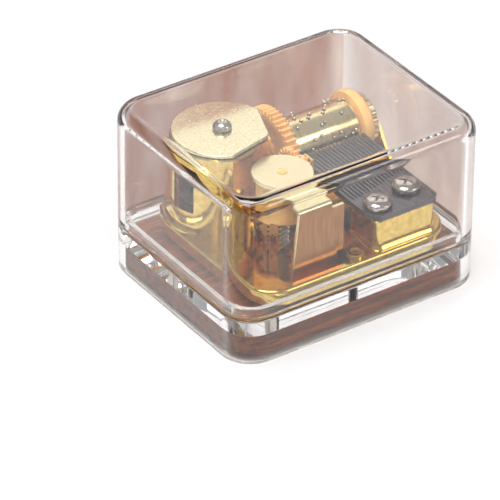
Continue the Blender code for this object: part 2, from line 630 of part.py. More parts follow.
def flattened_disc(radius, train_flat, governor_flat, corner):
    """A disc on the barrel's axis with two flats that meet in a rounded corner."""
    train, governor = math.radians(TRAIN_FLAT_ANGLE), math.radians(BARREL_FLAT_ANGLE)
    a, b = train_flat - corner, governor_flat - corner
    cross = math.sin(governor - train)
    middle = (BARREL_X + (a * math.sin(governor) - b * math.sin(train)) / cross,
              BARREL_Y + (b * math.cos(train) - a * math.cos(governor)) / cross)
    start = TRAIN_FLAT_ANGLE + math.degrees(math.acos(train_flat / radius))
    end = BARREL_FLAT_ANGLE - math.degrees(math.acos(governor_flat / radius))
    return (arc((BARREL_X, BARREL_Y), radius, start, end + 360, 30)
            + arc(middle, corner, BARREL_FLAT_ANGLE, TRAIN_FLAT_ANGLE, 4))


def make_barrel_plate():
    """The crimped top plate: a disc with a flat towards the train and one towards the governor."""
    outline = flattened_disc(BARREL_PLATE_RADIUS, TRAIN_FLAT - BARREL_PLATE_STEP,
                             BARREL_FLAT - BARREL_PLATE_STEP, BARREL_PLATE_CORNER)
    plate = make_object("barrel_plate", *prism(outline, "z", PLATE_BOTTOM, PLATE_TOP), "pale_gold")
    radius = ARBOR_NECK_RADIUS + RUN_GAP
    hole = turned(((radius, PLATE_BOTTOM - 1), (radius, PLATE_TOP + 1)), "z", (BARREL_X, BARREL_Y), 20)
    combine(plate, "arbor_hole", hole)


# ---------------------------------------------------------------- spring and winding
def make_mainspring():
    """A flat strip wound in a spiral, from round the arbor out to the barrel."""
    start_radius = ARBOR_RADIUS + 3 * GAP
    steps = SPRING_TURNS * 16
    low, high = CROWN_PITCH_Z + 2.0, BARREL_TOP - 1.0
    rings = []
    for i in range(steps + 1):
        share = i / steps
        angle = 2 * math.pi * SPRING_TURNS * share
        radius = start_radius + (SPRING_RADIUS - start_radius) * share
        ring = []
        for r, z in ((radius, low), (radius + SPRING_STRIP, low),
                     (radius + SPRING_STRIP, high), (radius, high)):
            ring.append((BARREL_X + r * math.cos(angle), BARREL_Y + r * math.sin(angle), z))
        rings.append(ring)
    make_object("mainspring", *loft(rings), "spring_steel")


def make_great_wheel(drive_phase):
    """The output wheel under the spring: a disc with a ring of upright teeth."""
    tooth_top = CROWN_PITCH_Z + 0.8 * CROWN_MODULE
    tooth_root = CROWN_PITCH_Z - 1.3 * CROWN_MODULE
    disc_bottom = BED_TOP + BARREL_FLOOR + GAP
    inner, outer = CROWN_PITCH - CROWN_FACE, CROWN_PITCH + CROWN_FACE
    hub = ARBOR_RADIUS + RUN_GAP
    pitch_angle = 2 * math.pi / CROWN_TEETH
    root_half = CROWN_ROOT_SHARE * pitch_angle
    tip_half = CROWN_TIP_SHARE * pitch_angle
    bottom, rim, ring_in, bore_top, bore_bottom = [], [], [], [], []
    for tooth in range(CROWN_TEETH):
        middle = drive_phase + tooth * pitch_angle
        for angle, height in ((-root_half, tooth_root), (-tip_half, tooth_top),
                              (tip_half, tooth_top), (root_half, tooth_root)):
            c, s = math.cos(middle + angle), math.sin(middle + angle)
            bottom.append((BARREL_X + outer * c, BARREL_Y + outer * s, disc_bottom))
            rim.append((BARREL_X + outer * c, BARREL_Y + outer * s, height))
            ring_in.append((BARREL_X + inner * c, BARREL_Y + inner * s, height))
            bore_top.append((BARREL_X + hub * c, BARREL_Y + hub * s, tooth_root))
            bore_bottom.append((BARREL_X + hub * c, BARREL_Y + hub * s, disc_bottom))
    floor = [(x, y, tooth_root) for x, y, _ in ring_in]
    inner_floor = [(BARREL_X + (x - BARREL_X) * 0.97, BARREL_Y + (y - BARREL_Y) * 0.97, z)
                   for x, y, z in floor]
    make_object("great_wheel", *loft([bottom, rim, ring_in, inner_floor, bore_top, bore_bottom], True),
                "tan_nylon", (BARREL_X, BARREL_Y, disc_bottom))


def make_winding_parts():
    centre = (BARREL_X, BARREL_Y)
    panel_bottom = FLOOR_UNDERSIDE - GAP - PANEL_THICKNESS
    key_bottom, key_top = panel_bottom - KEY_DEPTH, FLOOR_UNDERSIDE - 2.5 * GAP
    head = PLATE_TOP + GAP
    profile = [(0.8 * ARBOR_RADIUS, key_bottom + 1.2), (ARBOR_RADIUS, key_bottom + 1.6),
               (ARBOR_RADIUS, PLATE_BOTTOM - GAP), (ARBOR_NECK_RADIUS, PLATE_BOTTOM - GAP),
               (ARBOR_NECK_RADIUS, head), (ARBOR_HEAD_RADIUS, head),
               (ARBOR_HEAD_RADIUS, head + PLATE_HEAD_EDGE)]
    for share in (0.35, 0.7, 0.95):
        profile.append((ARBOR_HEAD_RADIUS * math.sqrt(1 - share ** 2) * 0.95,
                        head + PLATE_HEAD_EDGE + (ARBOR_HEAD_HEIGHT - PLATE_HEAD_EDGE) * share))
    make_object("winding_arbor", *turned(profile, "z", centre, 20), "nickel",
                (BARREL_X, BARREL_Y, PLATE_TOP))
    ratchet_bottom = CROWN_PITCH_Z - 1.3 * CROWN_MODULE + GAP
    outline = []
    for i in range(RATCHET_TEETH):
        angle = 2 * math.pi * i / RATCHET_TEETH
        for radius, lean in ((RATCHET_RADIUS, 0.0), (RATCHET_RADIUS - RATCHET_NOTCH, 0.06)):
            outline.append((radius * math.cos(angle + lean), radius * math.sin(angle + lean)))
    ratchet_top = ratchet_bottom + RATCHET_THICKNESS
    make_object("ratchet_wheel", *gear(outline, "z", centre, ratchet_bottom, ratchet_top,
                                       ARBOR_RADIUS + GAP), "bright_steel")
    reach = KEY_HALF_SPAN - KEY_HALF_THICKNESS
    wings = (arc((BARREL_X + reach, BARREL_Y), KEY_HALF_THICKNESS, -90, 90, 6)
             + arc((BARREL_X - reach, BARREL_Y), KEY_HALF_THICKNESS, 90, 270, 6))
    key = make_object("winding_key", *prism(wings, "z", key_bottom, key_top - 0.6), "nickel",
                      (BARREL_X, BARREL_Y, key_bottom))
    hub = turned(((KEY_HUB_RADIUS - 0.3, key_bottom + 0.5), (KEY_HUB_RADIUS, key_bottom + 0.9),
                  (KEY_HUB_RADIUS, key_top)), "z", centre, 24)
    combine(key, "hub", hub, "UNION")
    radius = ARBOR_RADIUS + GAP
    thread = turned(((radius, key_bottom + 1.2 - GAP), (radius, key_top + 1)), "z", centre, 20)
    combine(key, "thread", thread)


# ---------------------------------------------------------------- drum
def pin_places():
    """Tune pins as (track, degrees round the drum), three to five notes to each tooth."""
    places = []
    for track in range(TOOTH_COUNT):
        notes = 3 + (track * 5) % 3
        for note in range(notes):
            spread = (note * track * 13) % 29
            places.append((track, track * 47 + note * 360 / notes + spread))
    return places


def make_drum():
    centre = (DRUM_Y, DRUM_Z)
    bore = DRUM_SHAFT_RADIUS + GAP
    drum = make_object("drum", *tube("x", centre, DRUM_RADIUS, bore, DRUM_LEFT, DRUM_RIGHT, 36),
                       "pale_gold", (DRUM_LEFT, DRUM_Y, DRUM_Z))
    pins = []
    for track, degrees in pin_places():
        x = COMB_LEFT + (track + 0.5) * TOOTH_PITCH
        pins.append(pin_shape(x, math.radians(180 + degrees)))
    vertices, faces = [], []
    for pin_vertices, pin_faces in pins:
        base = len(vertices)
        vertices += pin_vertices
        faces += [tuple(base + i for i in face) for face in pin_faces]
    combine(drum, "tune_pins", (vertices, faces), "UNION")


def pin_shape(x, angle):
    """A small round stud standing on the drum at a turn angle measured from +Y towards +Z."""
    out = Vector((0.0, math.cos(angle), math.sin(angle)))
    side = Vector((0.0, -math.sin(angle), math.cos(angle)))
    along = Vector((1.0, 0.0, 0.0))
    axis_point = Vector((x, DRUM_Y, DRUM_Z))
    rings = []
    for radius, reach in ((PIN_RADIUS, DRUM_RADIUS - 0.4),
                          (0.8 * PIN_RADIUS, DRUM_RADIUS + PIN_HEIGHT)):
        rings.append([tuple(axis_point + out * reach + along * u + side * v)
                      for u, v in circle(radius, 5)])
    return loft(rings)


def make_drum_ends(gear_phase, drive_phase):
    centre = (DRUM_Y, DRUM_Z)
    bore = DRUM_SHAFT_RADIUS + GAP
    outline = gear_outline(DRUM_GEAR_TEETH, TRAIN_MODULE, gear_phase)
    make_object("drum_gear", *gear(outline, "x", centre, DRUM_GEAR_LEFT, DRUM_GEAR_RIGHT, bore),
                "tan_nylon", (DRUM_GEAR_LEFT, DRUM_Y, DRUM_Z))
    left = CONTACT_X - DRIVE_PINION_WIDTH / 2
    outline = gear_outline(DRIVE_PINION_TEETH, CROWN_MODULE, drive_phase, 0.31, 0.8, 1.2)
    make_object("drive_pinion", *gear(outline, "x", centre, left, left + DRIVE_PINION_WIDTH, bore),
                "tan_nylon", (left, DRUM_Y, DRUM_Z))
    profile = ((COLLAR_RADIUS - 0.6, COLLAR_LEFT), (COLLAR_RADIUS, COLLAR_LEFT + 0.5),
               (COLLAR_RADIUS, COLLAR_RIGHT - COLLAR_BEVEL), (COLLAR_RADIUS - COLLAR_BEVEL, COLLAR_RIGHT),
               (bore, COLLAR_RIGHT), (bore, COLLAR_LEFT))
    make_object("drum_collar", *turned(profile, "x", centre, 36, closed=True), "tan_nylon",
                (COLLAR_LEFT, DRUM_Y, DRUM_Z))
    scallops = []
    steps = 4 * RING_SCALLOPS
    for i in range(steps):
        angle = 2 * math.pi * (i + 0.5) / steps
        radius = END_RING_RADIUS - SCALLOP_DEPTH * (1 - math.cos(RING_SCALLOPS * angle))
        scallops.append((radius * math.cos(angle), radius * math.sin(angle)))
    make_object("drum_end_ring", *gear(scallops, "x", centre, END_RING_LEFT, END_RING_RIGHT, bore),
                "pale_gold", (END_RING_LEFT, DRUM_Y, DRUM_Z))
    shaft_left = CONTACT_X - DRIVE_PINION_WIDTH / 2 - GAP
    shaft_right = END_RING_RIGHT + SHAFT_END
    shaft = turned(((DRUM_SHAFT_RADIUS, shaft_left), (DRUM_SHAFT_RADIUS, shaft_right)), "x", centre, 16)
    make_object("drum_shaft", *shaft, "bright_steel", (shaft_left, DRUM_Y, DRUM_Z))


def make_drum_bracket():
    """The bracket that carries the drum's right end: a leg with a foot on each side of the collar."""
    leg = END_RING_RIGHT + 2 * GAP
    eye = DRUM_BRACKET_EYE
    foot_z = BED_TOP + GAP
    outline = ((DRUM_Y - FOOT_OUTER, foot_z), (DRUM_Y + FOOT_OUTER, foot_z),
               (DRUM_Y + FOOT_OUTER, foot_z + DRUM_BRACKET_SKIRT), (DRUM_Y + eye, DRUM_Z + eye),
               (DRUM_Y - eye, DRUM_Z + eye), (DRUM_Y - FOOT_OUTER, foot_z + DRUM_BRACKET_SKIRT))
    bracket = make_object("drum_bracket", *prism(outline, "x", leg, leg + DRUM_BRACKET_SHEET),
                          "gold_plate")
    for number, side in enumerate((-1, 1), 1):
        y0, y1 = sorted((DRUM_Y + side * FOOT_INNER, DRUM_Y + side * FOOT_OUTER))
        foot = block(DRUM_FOOT_X - 1.9, leg + 0.3, y0, y1, foot_z, foot_z + DRUM_BRACKET_SHEET)
        combine(bracket, "foot_%d" % number, foot, "UNION")
        spot = (DRUM_FOOT_X, DRUM_Y + side * (FOOT_INNER + FOOT_OUTER) / 2)
        radius = SMALL_SCREW_RADIUS + RUN_GAP
        hole = turned(((radius, foot_z - 1), (radius, foot_z + 2)), "z", spot, 12)
        combine(bracket, "screw_hole_%d" % number, hole)
        make_small_screw("drum_bracket_screw_%d" % number, spot, foot_z + DRUM_BRACKET_SHEET, foot_z - 2.2)
    radius = DRUM_SHAFT_RADIUS + RUN_GAP
    combine(bracket, "bearing", turned(((radius, leg - 1), (radius, leg + 2)), "x",
                                       (DRUM_Y, DRUM_Z), 16))


def make_small_screw(name, spot, face, end):
    """A low pan head screw, its head on a sheet's face and its shank down to the given end."""
    seat = face + GAP
    profile = ((SMALL_SCREW_RADIUS, end), (SMALL_SCREW_RADIUS, seat), (SMALL_SCREW_HEAD_RADIUS, seat),
               (SMALL_SCREW_HEAD_RADIUS, seat + 0.35), (0.55 * SMALL_SCREW_HEAD_RADIUS, seat + 0.6))
    make_object(name, *turned(profile, "z", spot, 14), "nickel")


# ---------------------------------------------------------------- comb
def make_comb():
    """One plate: a chamfered root with 18 teeth, longer on the left."""
    left, right = COMB_LEFT, COMB_RIGHT
    outline = [(left, COMB_FRONT + COMB_LEFT_CUT), (left + COMB_CHAMFER, COMB_FRONT),
               (right - COMB_CHAMFER * 0.6, COMB_FRONT), (right, COMB_FRONT + COMB_CHAMFER * 0.6)]
    for tooth in range(TOOTH_COUNT - 1, -1, -1):
        x0 = left + tooth * TOOTH_PITCH + TOOTH_GAP / 2
        x1 = x0 + TOOTH_PITCH - TOOTH_GAP
        root_y = COMB_FRONT + COMB_ROOT_DEPTH + COMB_ROOT_SLOPE * tooth / (TOOTH_COUNT - 1)
        if tooth < TOOTH_COUNT - 1:
            outline.append((x1, root_y))
        else:
            x1 = right
        if tooth == 0:
            x0 = left
        tip_root = COMB_TIP_Y - TOOTH_TIP_LENGTH
        outline += [(x1, tip_root), (x1 - TOOTH_TIP_TAPER, COMB_TIP_Y),
                    (x0 + TOOTH_TIP_TAPER, COMB_TIP_Y), (x0, tip_root)]
        if tooth > 0:
            outline.append((x0, root_y))
    comb = make_object("comb", *prism(outline, "z", COMB_BOTTOM, COMB_TOP), "comb_steel",
                       smooth_angle=20)
    radius = COMB_SCREW_SHANK_RADIUS + RUN_GAP
    for number, spot in enumerate(COMB_SCREWS, 1):
        combine(comb, "screw_hole_%d" % number,
                turned(((radius, COMB_BOTTOM - 1), (radius, COMB_TOP + 1)), "z", spot, 16))


def make_comb_screws():
    for name, (x, y) in zip(("comb_screw_left", "comb_screw_right"), COMB_SCREWS):
        seat = COMB_TOP + GAP
        top = seat + COMB_SCREW_HEAD_HEIGHT
        rim = seat + COMB_SCREW_RIM
        profile = [(COMB_SCREW_SHANK_RADIUS, PEDESTAL_TOP - COMB_SCREW_DEPTH),
                   (COMB_SCREW_SHANK_RADIUS, seat), (COMB_SCREW_HEAD_RADIUS, seat),
                   (COMB_SCREW_HEAD_RADIUS, rim)]
        for share in (0.35, 0.65, 0.9):
            profile.append((COMB_SCREW_HEAD_RADIUS * math.sqrt(1 - 0.8 * share ** 2),
                            rim + (top - rim) * share))
        profile.append((0.35 * COMB_SCREW_HEAD_RADIUS, top))
        screw = make_object(name, *turned(profile, "z", (x, y), 24), "nickel")
        cut_cross(screw, x, y, top, 1.5, 1.1)


# ---------------------------------------------------------------- governor
def make_governor_bracket():
    """A bent sheet: a top with a round lobe over the spindle, and a wide front plate."""
    lobe = (SPINDLE_X, SPINDLE_Y)
    fold = BRACKET_FRONT
    right = BRACKET_X + BRACKET_TOP_HALF
    left = BRACKET_X - BRACKET_TOP_HALF
    neck = (right - 0.4, fold + 5.6)
    top = [(left, fold), (right, fold), neck] + arc(lobe, BRACKET_LOBE_RADIUS, -44, 228, 28)
    bracket = make_object("governor_bracket",
                          *prism(top, "z", BRACKET_TOP - BRACKET_SHEET, BRACKET_TOP), "pale_gold")
    foot = WELL_Z + GAP
    front = ((BRACKET_X - BRACKET_FOOT_HALF, foot), (BRACKET_X + BRACKET_FOOT_HALF, foot),
             (right, BRACKET_TOP), (left, BRACKET_TOP))
    combine(bracket, "front_plate", prism(front, "y", fold, fold + BRACKET_SHEET), "UNION")
    ear = block(right - 0.8, right + EAR_REACH, fold + BRACKET_SHEET / 2, fold + 1.5 * BRACKET_SHEET,
                foot + 4.0, BRACKET_TOP - 2.0)
    combine(bracket, "ear", ear, "UNION")
    tab = block(BRACKET_X - TAB_HALF_WIDTH, BRACKET_X + TAB_HALF_WIDTH, fold + 0.2, fold + TAB_REACH,
                foot, foot + BRACKET_SHEET)
    combine(bracket, "foot_tab", tab, "UNION")
    radius = SMALL_SCREW_RADIUS + RUN_GAP
    hole = turned(((radius, foot - 1), (radius, foot + 2)), "z", BRACKET_SCREW, 12)
    combine(bracket, "screw_hole", hole)
    make_small_screw("governor_screw", BRACKET_SCREW, foot + BRACKET_SHEET, BED_BOTTOM + 0.2)
    radius = BUSH_RADIUS + GAP
    hole = turned(((radius, BRACKET_TOP - 2), (radius, BRACKET_TOP + 1)), "z", lobe, 20)
    combine(bracket, "bush_hole", hole)


def make_governor_rotor(worm_phase):
    """The worm spindle with the fly cup on it, and the bush that holds its upper end."""
    centre = (SPINDLE_X, SPINDLE_Y)
    pivot_low, pivot_high = WELL_Z + GAP, BRACKET_TOP - 0.5
    thread_low, thread_high = WELL_Z + 1.0, FLY_BOTTOM - 0.5
    steps = 30
    points = 18
    rings = []
    for z in (pivot_low, thread_low):
        rings.append([(centre[0] + u, centre[1] + v, z)
                      for u, v in circle(PIVOT_RADIUS, points, worm_phase)])
    for i in range(steps + 1):
        z = thread_low + (thread_high - thread_low) * i / steps
        turn = 2 * math.pi * (z - SECOND_Z) / WORM_LEAD
        ring = []
        for k in range(points):
            local = 2 * math.pi * k / points
            wave = math.cos(WORM_STARTS * local)
            radius = WORM_RADIUS + WORM_MODULE * (max(min(1.3 * wave, 1), -1) - 1 / 3)
            angle = local + turn + worm_phase
            ring.append((centre[0] + radius * math.cos(angle),
                         centre[1] + radius * math.sin(angle), z))
        rings.append(ring)
    end_phase = worm_phase + 2 * math.pi * (thread_high - SECOND_Z) / WORM_LEAD
    for z in (thread_high, pivot_high):
        rings.append([(centre[0] + u, centre[1] + v, z)
                      for u, v in circle(SPINDLE_RADIUS, points, end_phase)])
    make_object("worm_spindle", *loft(rings), "bright_steel", (SPINDLE_X, SPINDLE_Y, pivot_low))
    bore = SPINDLE_RADIUS + GAP
    ceiling = FLY_TOP - FLY_TOP_WALL
    hub_end = FLY_TOP - FLY_HUB_LENGTH
    cup = ((bore, FLY_TOP), (FLY_RADIUS, FLY_TOP), (FLY_RADIUS, FLY_BOTTOM),
           (FLY_RADIUS - FLY_WALL, FLY_BOTTOM), (FLY_RADIUS - FLY_WALL, ceiling),
           (bore + FLY_HUB_WALL, ceiling), (bore + FLY_HUB_WALL, hub_end), (bore, hub_end))
    make_object("governor_fly", *turned(cup, "z", centre, 32, closed=True), "tan_nylon",
                (SPINDLE_X, SPINDLE_Y, FLY_BOTTOM))
    blind_end = pivot_high + GAP
    bush = ((0.3, BRACKET_TOP + 0.3), (BUSH_RADIUS, BRACKET_TOP + 0.15),
            (BUSH_RADIUS, BRACKET_TOP - BRACKET_SHEET), (bore, BRACKET_TOP - BRACKET_SHEET),
            (bore, blind_end), (0.3, blind_end))
    make_object("spindle_bush", *turned(bush, "z", centre, 20), "tan_nylon")


def make_train(first_phase, first_wheel_phase, second_phase, wheel_phase):
    """The two arbors between the drum gear and the worm, with their wheels."""
    bore = ARBOR_PIN_RADIUS + GAP
    first, second = (FIRST_Y, FIRST_Z), (SECOND_Y, SECOND_Z)
    post = DRUM_GEAR_RIGHT + GAP
    outline = gear_outline(FIRST_PINION_TEETH, TRAIN_MODULE, first_phase, 0.34, 0.85, 1.25)
    pinion_left = WHEEL_LEFT + WHEEL_WIDTH + GAP
    make_object("first_pinion", *gear(outline, "x", first, pinion_left, post - GAP, bore),
                "tan_nylon", (pinion_left, *first))
    outline = gear_outline(FIRST_WHEEL_TEETH, TRAIN_MODULE, first_wheel_phase, 0.40)
    make_object("first_wheel", *gear(outline, "x", first, WHEEL_LEFT, WHEEL_LEFT + WHEEL_WIDTH, bore),
                "tan_nylon", (WHEEL_LEFT, *first))
    shaft = ((ARBOR_PIN_RADIUS, WHEEL_LEFT - 1.9), (ARBOR_PIN_RADIUS, post + 0.6))
    make_object("first_arbor", *turned(shaft, "x", first, 12), "bright_steel",
                (WHEEL_LEFT - 1.9, *first))
    outline = gear_outline(SECOND_PINION_TEETH, TRAIN_MODULE, second_phase, 0.38)
    make_object("second_pinion", *gear(outline, "x", second, WHEEL_LEFT, WHEEL_LEFT + WHEEL_WIDTH, bore),
                "tan_nylon", (WHEEL_LEFT, *second))
    half = WORM_WHEEL_WIDTH / 2
    lean = WORM_LEAD / (2 * math.pi * WORM_RADIUS)
    twist = WORM_WHEEL_WIDTH * lean / WORM_WHEEL_PITCH
    outline = gear_outline(WORM_WHEEL_TEETH, WORM_MODULE, wheel_phase - twist / 2, 0.36, WORM_TIP, 1.2)
    make_object("worm_wheel", *gear(outline, "x", second, SPINDLE_X - half, SPINDLE_X + half, bore, twist),
                "tan_nylon", (SPINDLE_X, *second))
    shaft = ((ARBOR_PIN_RADIUS, SPINDLE_X - 2.8), (ARBOR_PIN_RADIUS, post + 0.6))
    make_object("second_arbor", *turned(shaft, "x", second, 12), "bright_steel",
                (SPINDLE_X - 2.8, *second))
    cheek_left = WHEEL_LEFT - GAP - COCK_THICKNESS
    foot_z = WELL_Z + GAP
    cheek = prism(((SECOND_Y - 3.0, foot_z), (SECOND_Y + 2.2, foot_z), (FIRST_Y + 1.7, FIRST_Z),
                   (FIRST_Y + 1.0, FIRST_Z + 1.5), (FIRST_Y - 1.2, FIRST_Z + 1.5),
                   (SECOND_Y - 1.8, SECOND_Z + 1.0)), "x", cheek_left, cheek_left + COCK_THICKNESS)
    cock = make_object("train_cock", *cheek, "gold_plate")
    for name, centre in (("first", first), ("second", second)):
        radius = ARBOR_PIN_RADIUS + RUN_GAP
        combine(cock, name + "_bearing",
                turned(((radius, cheek_left - 1), (radius, cheek_left + 3)), "x", centre, 12))


def main():
    clear_scene()
    make_cover()
    make_base()
    make_panel()
    make_case_screws()
    make_bedplate()
    make_barrel_plate()
    make_mainspring()
    make_winding_parts()

    # Gear phases, passed along the train so that each tooth stands opposite a gap.
    to_first = math.atan2(FIRST_Z - DRUM_Z, FIRST_Y - DRUM_Y)
    drum_gear_phase = to_first
    first_phase = mate_phase(DRUM_GEAR_TEETH, drum_gear_phase, to_first, FIRST_PINION_TEETH)
    to_second = math.atan2(SECOND_Z - FIRST_Z, SECOND_Y - FIRST_Y)
    first_wheel_phase = to_second
    second_phase = mate_phase(FIRST_WHEEL_TEETH, first_wheel_phase, to_second, SECOND_PINION_TEETH)
    wheel_phase = math.pi + math.pi / WORM_WHEEL_TEETH
    worm_phase = math.pi / 2
    crown_contact = math.atan2(DRUM_Y - BARREL_Y, CONTACT_X - BARREL_X)
    drive_phase = -math.pi / 2 + math.pi / DRIVE_PINION_TEETH

    make_great_wheel(crown_contact)
    make_drum()
    make_drum_ends(drum_gear_phase, drive_phase)
    make_drum_bracket()
    make_comb()
    make_comb_screws()
    make_governor_bracket()
    make_governor_rotor(worm_phase)
    make_train(first_phase, first_wheel_phase, second_phase, wheel_phase)


main()
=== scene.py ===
"""Looks for the wind up music box: finer pieces, finishes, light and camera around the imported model.

Lengths are in millimetres and are turned to metres where a mesh is made.
"""

import json
import math

import bmesh
import bpy
from mathutils import Matrix, Vector

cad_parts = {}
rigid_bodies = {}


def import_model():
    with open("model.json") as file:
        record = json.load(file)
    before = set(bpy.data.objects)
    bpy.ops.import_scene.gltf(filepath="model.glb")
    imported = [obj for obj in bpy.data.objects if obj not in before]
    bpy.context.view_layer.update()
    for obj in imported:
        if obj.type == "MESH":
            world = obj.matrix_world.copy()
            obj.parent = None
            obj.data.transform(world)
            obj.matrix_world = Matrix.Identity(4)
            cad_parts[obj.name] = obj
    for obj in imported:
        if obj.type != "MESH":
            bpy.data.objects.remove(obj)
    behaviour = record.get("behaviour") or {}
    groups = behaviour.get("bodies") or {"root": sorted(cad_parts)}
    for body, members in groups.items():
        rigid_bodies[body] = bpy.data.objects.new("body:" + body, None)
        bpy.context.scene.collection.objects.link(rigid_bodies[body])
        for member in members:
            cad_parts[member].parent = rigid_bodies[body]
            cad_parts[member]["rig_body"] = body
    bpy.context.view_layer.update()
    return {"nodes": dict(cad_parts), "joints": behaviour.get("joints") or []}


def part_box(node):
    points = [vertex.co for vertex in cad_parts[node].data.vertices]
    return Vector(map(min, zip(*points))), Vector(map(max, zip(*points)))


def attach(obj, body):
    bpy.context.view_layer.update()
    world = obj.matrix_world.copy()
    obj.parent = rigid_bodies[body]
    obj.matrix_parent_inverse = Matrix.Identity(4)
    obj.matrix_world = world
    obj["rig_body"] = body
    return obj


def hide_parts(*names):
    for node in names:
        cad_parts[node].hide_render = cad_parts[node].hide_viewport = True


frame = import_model()

MM = 0.001


def sizes_of(node):
    """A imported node's lowest and highest corners, in millimetres."""
    low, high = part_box(node)
    return low / MM, high / MM


def axis_place(joint):
    """A point on a joint's axis, in millimetres."""
    for found in frame["joints"]:
        if found["name"] == joint:
            return Vector(found["pos_m"]) / MM
    raise KeyError(joint)


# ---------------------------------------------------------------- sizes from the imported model
COVER_LOW, COVER_HIGH = sizes_of("top_cover")
TRAY_LOW, TRAY_HIGH = sizes_of("base_tray")
PANEL_LOW, PANEL_HIGH = sizes_of("walnut_panel")
BED_LOW, BED_HIGH = sizes_of("bedplate")
PLATE_LOW, PLATE_HIGH = sizes_of("barrel_plate")
DRUM_LOW, DRUM_HIGH = sizes_of("drum")
GEAR_LOW, GEAR_HIGH = sizes_of("drum_gear")
COLLAR_LOW, COLLAR_HIGH = sizes_of("drum_collar")
END_LOW, END_HIGH = sizes_of("drum_end_ring")
COMB_LOW, COMB_HIGH = sizes_of("comb")
BRACKET_LOW, BRACKET_HIGH = sizes_of("governor_bracket")
FLY_LOW, FLY_HIGH = sizes_of("governor_fly")
FIRST_LOW, FIRST_HIGH = sizes_of("first_wheel")
BARREL = axis_place("winding_turn")
DRUM = axis_place("drum_spin")
FIRST = axis_place("first_shaft_spin")
SPINDLE = axis_place("governor_spin")

# Sizes that the boxes don't hold.
CASE_CORNER = 7.5
CASE_TOP_ROUND = 3.5
CASE_WALL = 2.0
SEAM_GAP = 0.25               # between the cover, the tray and the board
LIP_THICKNESS = 1.3
FLOOR_THICKNESS = 3.9
KEY_RECESS_RADIUS = 10.6
BED_TOP = BED_LOW.z + 3.45
WELL_FLOOR = BED_LOW.z + 1.0
BARREL_RADIUS = 11.4
BARREL_WALL = 2.7
BARREL_FLATS = (-21.5, 9.6), (-76.68, 9.3)    # degrees from +X and distance from the axis
PLATE_STEP = 0.2              # how far the plate stays inside the barrel's outline
PLATE_CORNER = 2.4
SEAT_GAP = 0.25               # between a piece and what it is seated on
DRUM_RADIUS = 6.0
DRUM_BORE = 1.05
COLLAR_ROUND = 1.1
LOBE_COUNT = 18
LOBE_RADIUS = 5.72
LOBE_RISE = 0.26
PIN_RADIUS = 0.24
PIN_SIDES = 10
PIN_FOOT = 0.08               # height of the ring round a pin's foot, painted dark as shade
TOOTH_COUNT = 18
TOOTH_PITCH = 0.965
TOOTH_GAP = 0.3
SHEET = 0.8
SCREW_SHANK = 1.3
SCREW_RIM = 0.7               # height of a screw head's upright rim
TRAIN_MODULE = 0.409
DRUM_GEAR_TEETH = 48
FIRST_WHEEL_TEETH = 22


# ---------------------------------------------------------------- making materials
def colour(code):
    """An sRGB hex code as linear colour values."""
    values = []
    for start in (1, 3, 5):
        value = int(code[start:start + 2], 16) / 255
        values.append(value / 12.92 if value <= 0.04045 else ((value + 0.055) / 1.055) ** 2.4)
    return (*values, 1.0)


def add(tree, kind, settings=None, links=None):
    """Adds a node. Settings go to its properties or sockets; links are {socket: (node, output)}."""
    made = tree.nodes.new(kind)
    for name, value in (settings or {}).items():
        if isinstance(name, str) and hasattr(made, name):
            setattr(made, name, value)
        else:
            made.inputs[name].default_value = value
    for name, (source, output) in (links or {}).items():
        tree.links.new(source.outputs[output], made.inputs[name])
    return made


def finish_of(name, **surface):
    """A material with a Principled shader whose constant values are set on its own sockets."""
    material = bpy.data.materials.new(name)
    material.use_nodes = True
    tree = material.node_tree
    shader = tree.nodes["Principled BSDF"]
    for socket, value in surface.items():
        shader.inputs[socket.replace("_", " ")].default_value = value
    place = add(tree, "ShaderNodeTexCoord")
    return material, tree, shader, place


def noise(tree, source, output, size_mm, detail, distortion=0.0):
    """Noise with about one feature in each stretch of this many millimetres."""
    return add(tree, "ShaderNodeTexNoise",
               {"Scale": 1 / (size_mm * MM), "Detail": detail, "Distortion": distortion},
               {"Vector": (source, output)})


def ramp(tree, source, output, stops):
    """A colour ramp over (position, hex) stops, fed by a node's output."""
    made = add(tree, "ShaderNodeValToRGB", {}, {"Fac": (source, output)})
    elements = made.color_ramp.elements
    while len(elements) < len(stops):
        elements.new(0.5)
    for element, (position, code) in zip(elements, stops):
        element.position = position
        element.color = colour(code)
    return made


def paint(tree, shader, source, output, stops):
    """Colours the surface by a pattern, through a ramp."""
    tone = ramp(tree, source, output, stops)
    tree.links.new(tone.outputs["Color"], shader.inputs["Base Color"])


def relief(tree, shader, source, strength, height_mm):
    """Raises the surface by a pattern."""
    bump = add(tree, "ShaderNodeBump", {"Strength": strength, "Distance": height_mm * MM},
               {"Height": (source, "Fac")})
    tree.links.new(bump.outputs["Normal"], shader.inputs["Normal"])


def vary_roughness(tree, shader, source, low, high, span=(0.0, 1.0)):
    """Makes the surface rougher where a pattern is bright, over a span of the pattern's values."""
    rough = add(tree, "ShaderNodeMapRange",
                {"From Min": span[0], "From Max": span[1], "To Min": low, "To Max": high},
                {"Value": (source, "Fac")})
    tree.links.new(rough.outputs["Result"], shader.inputs["Roughness"])


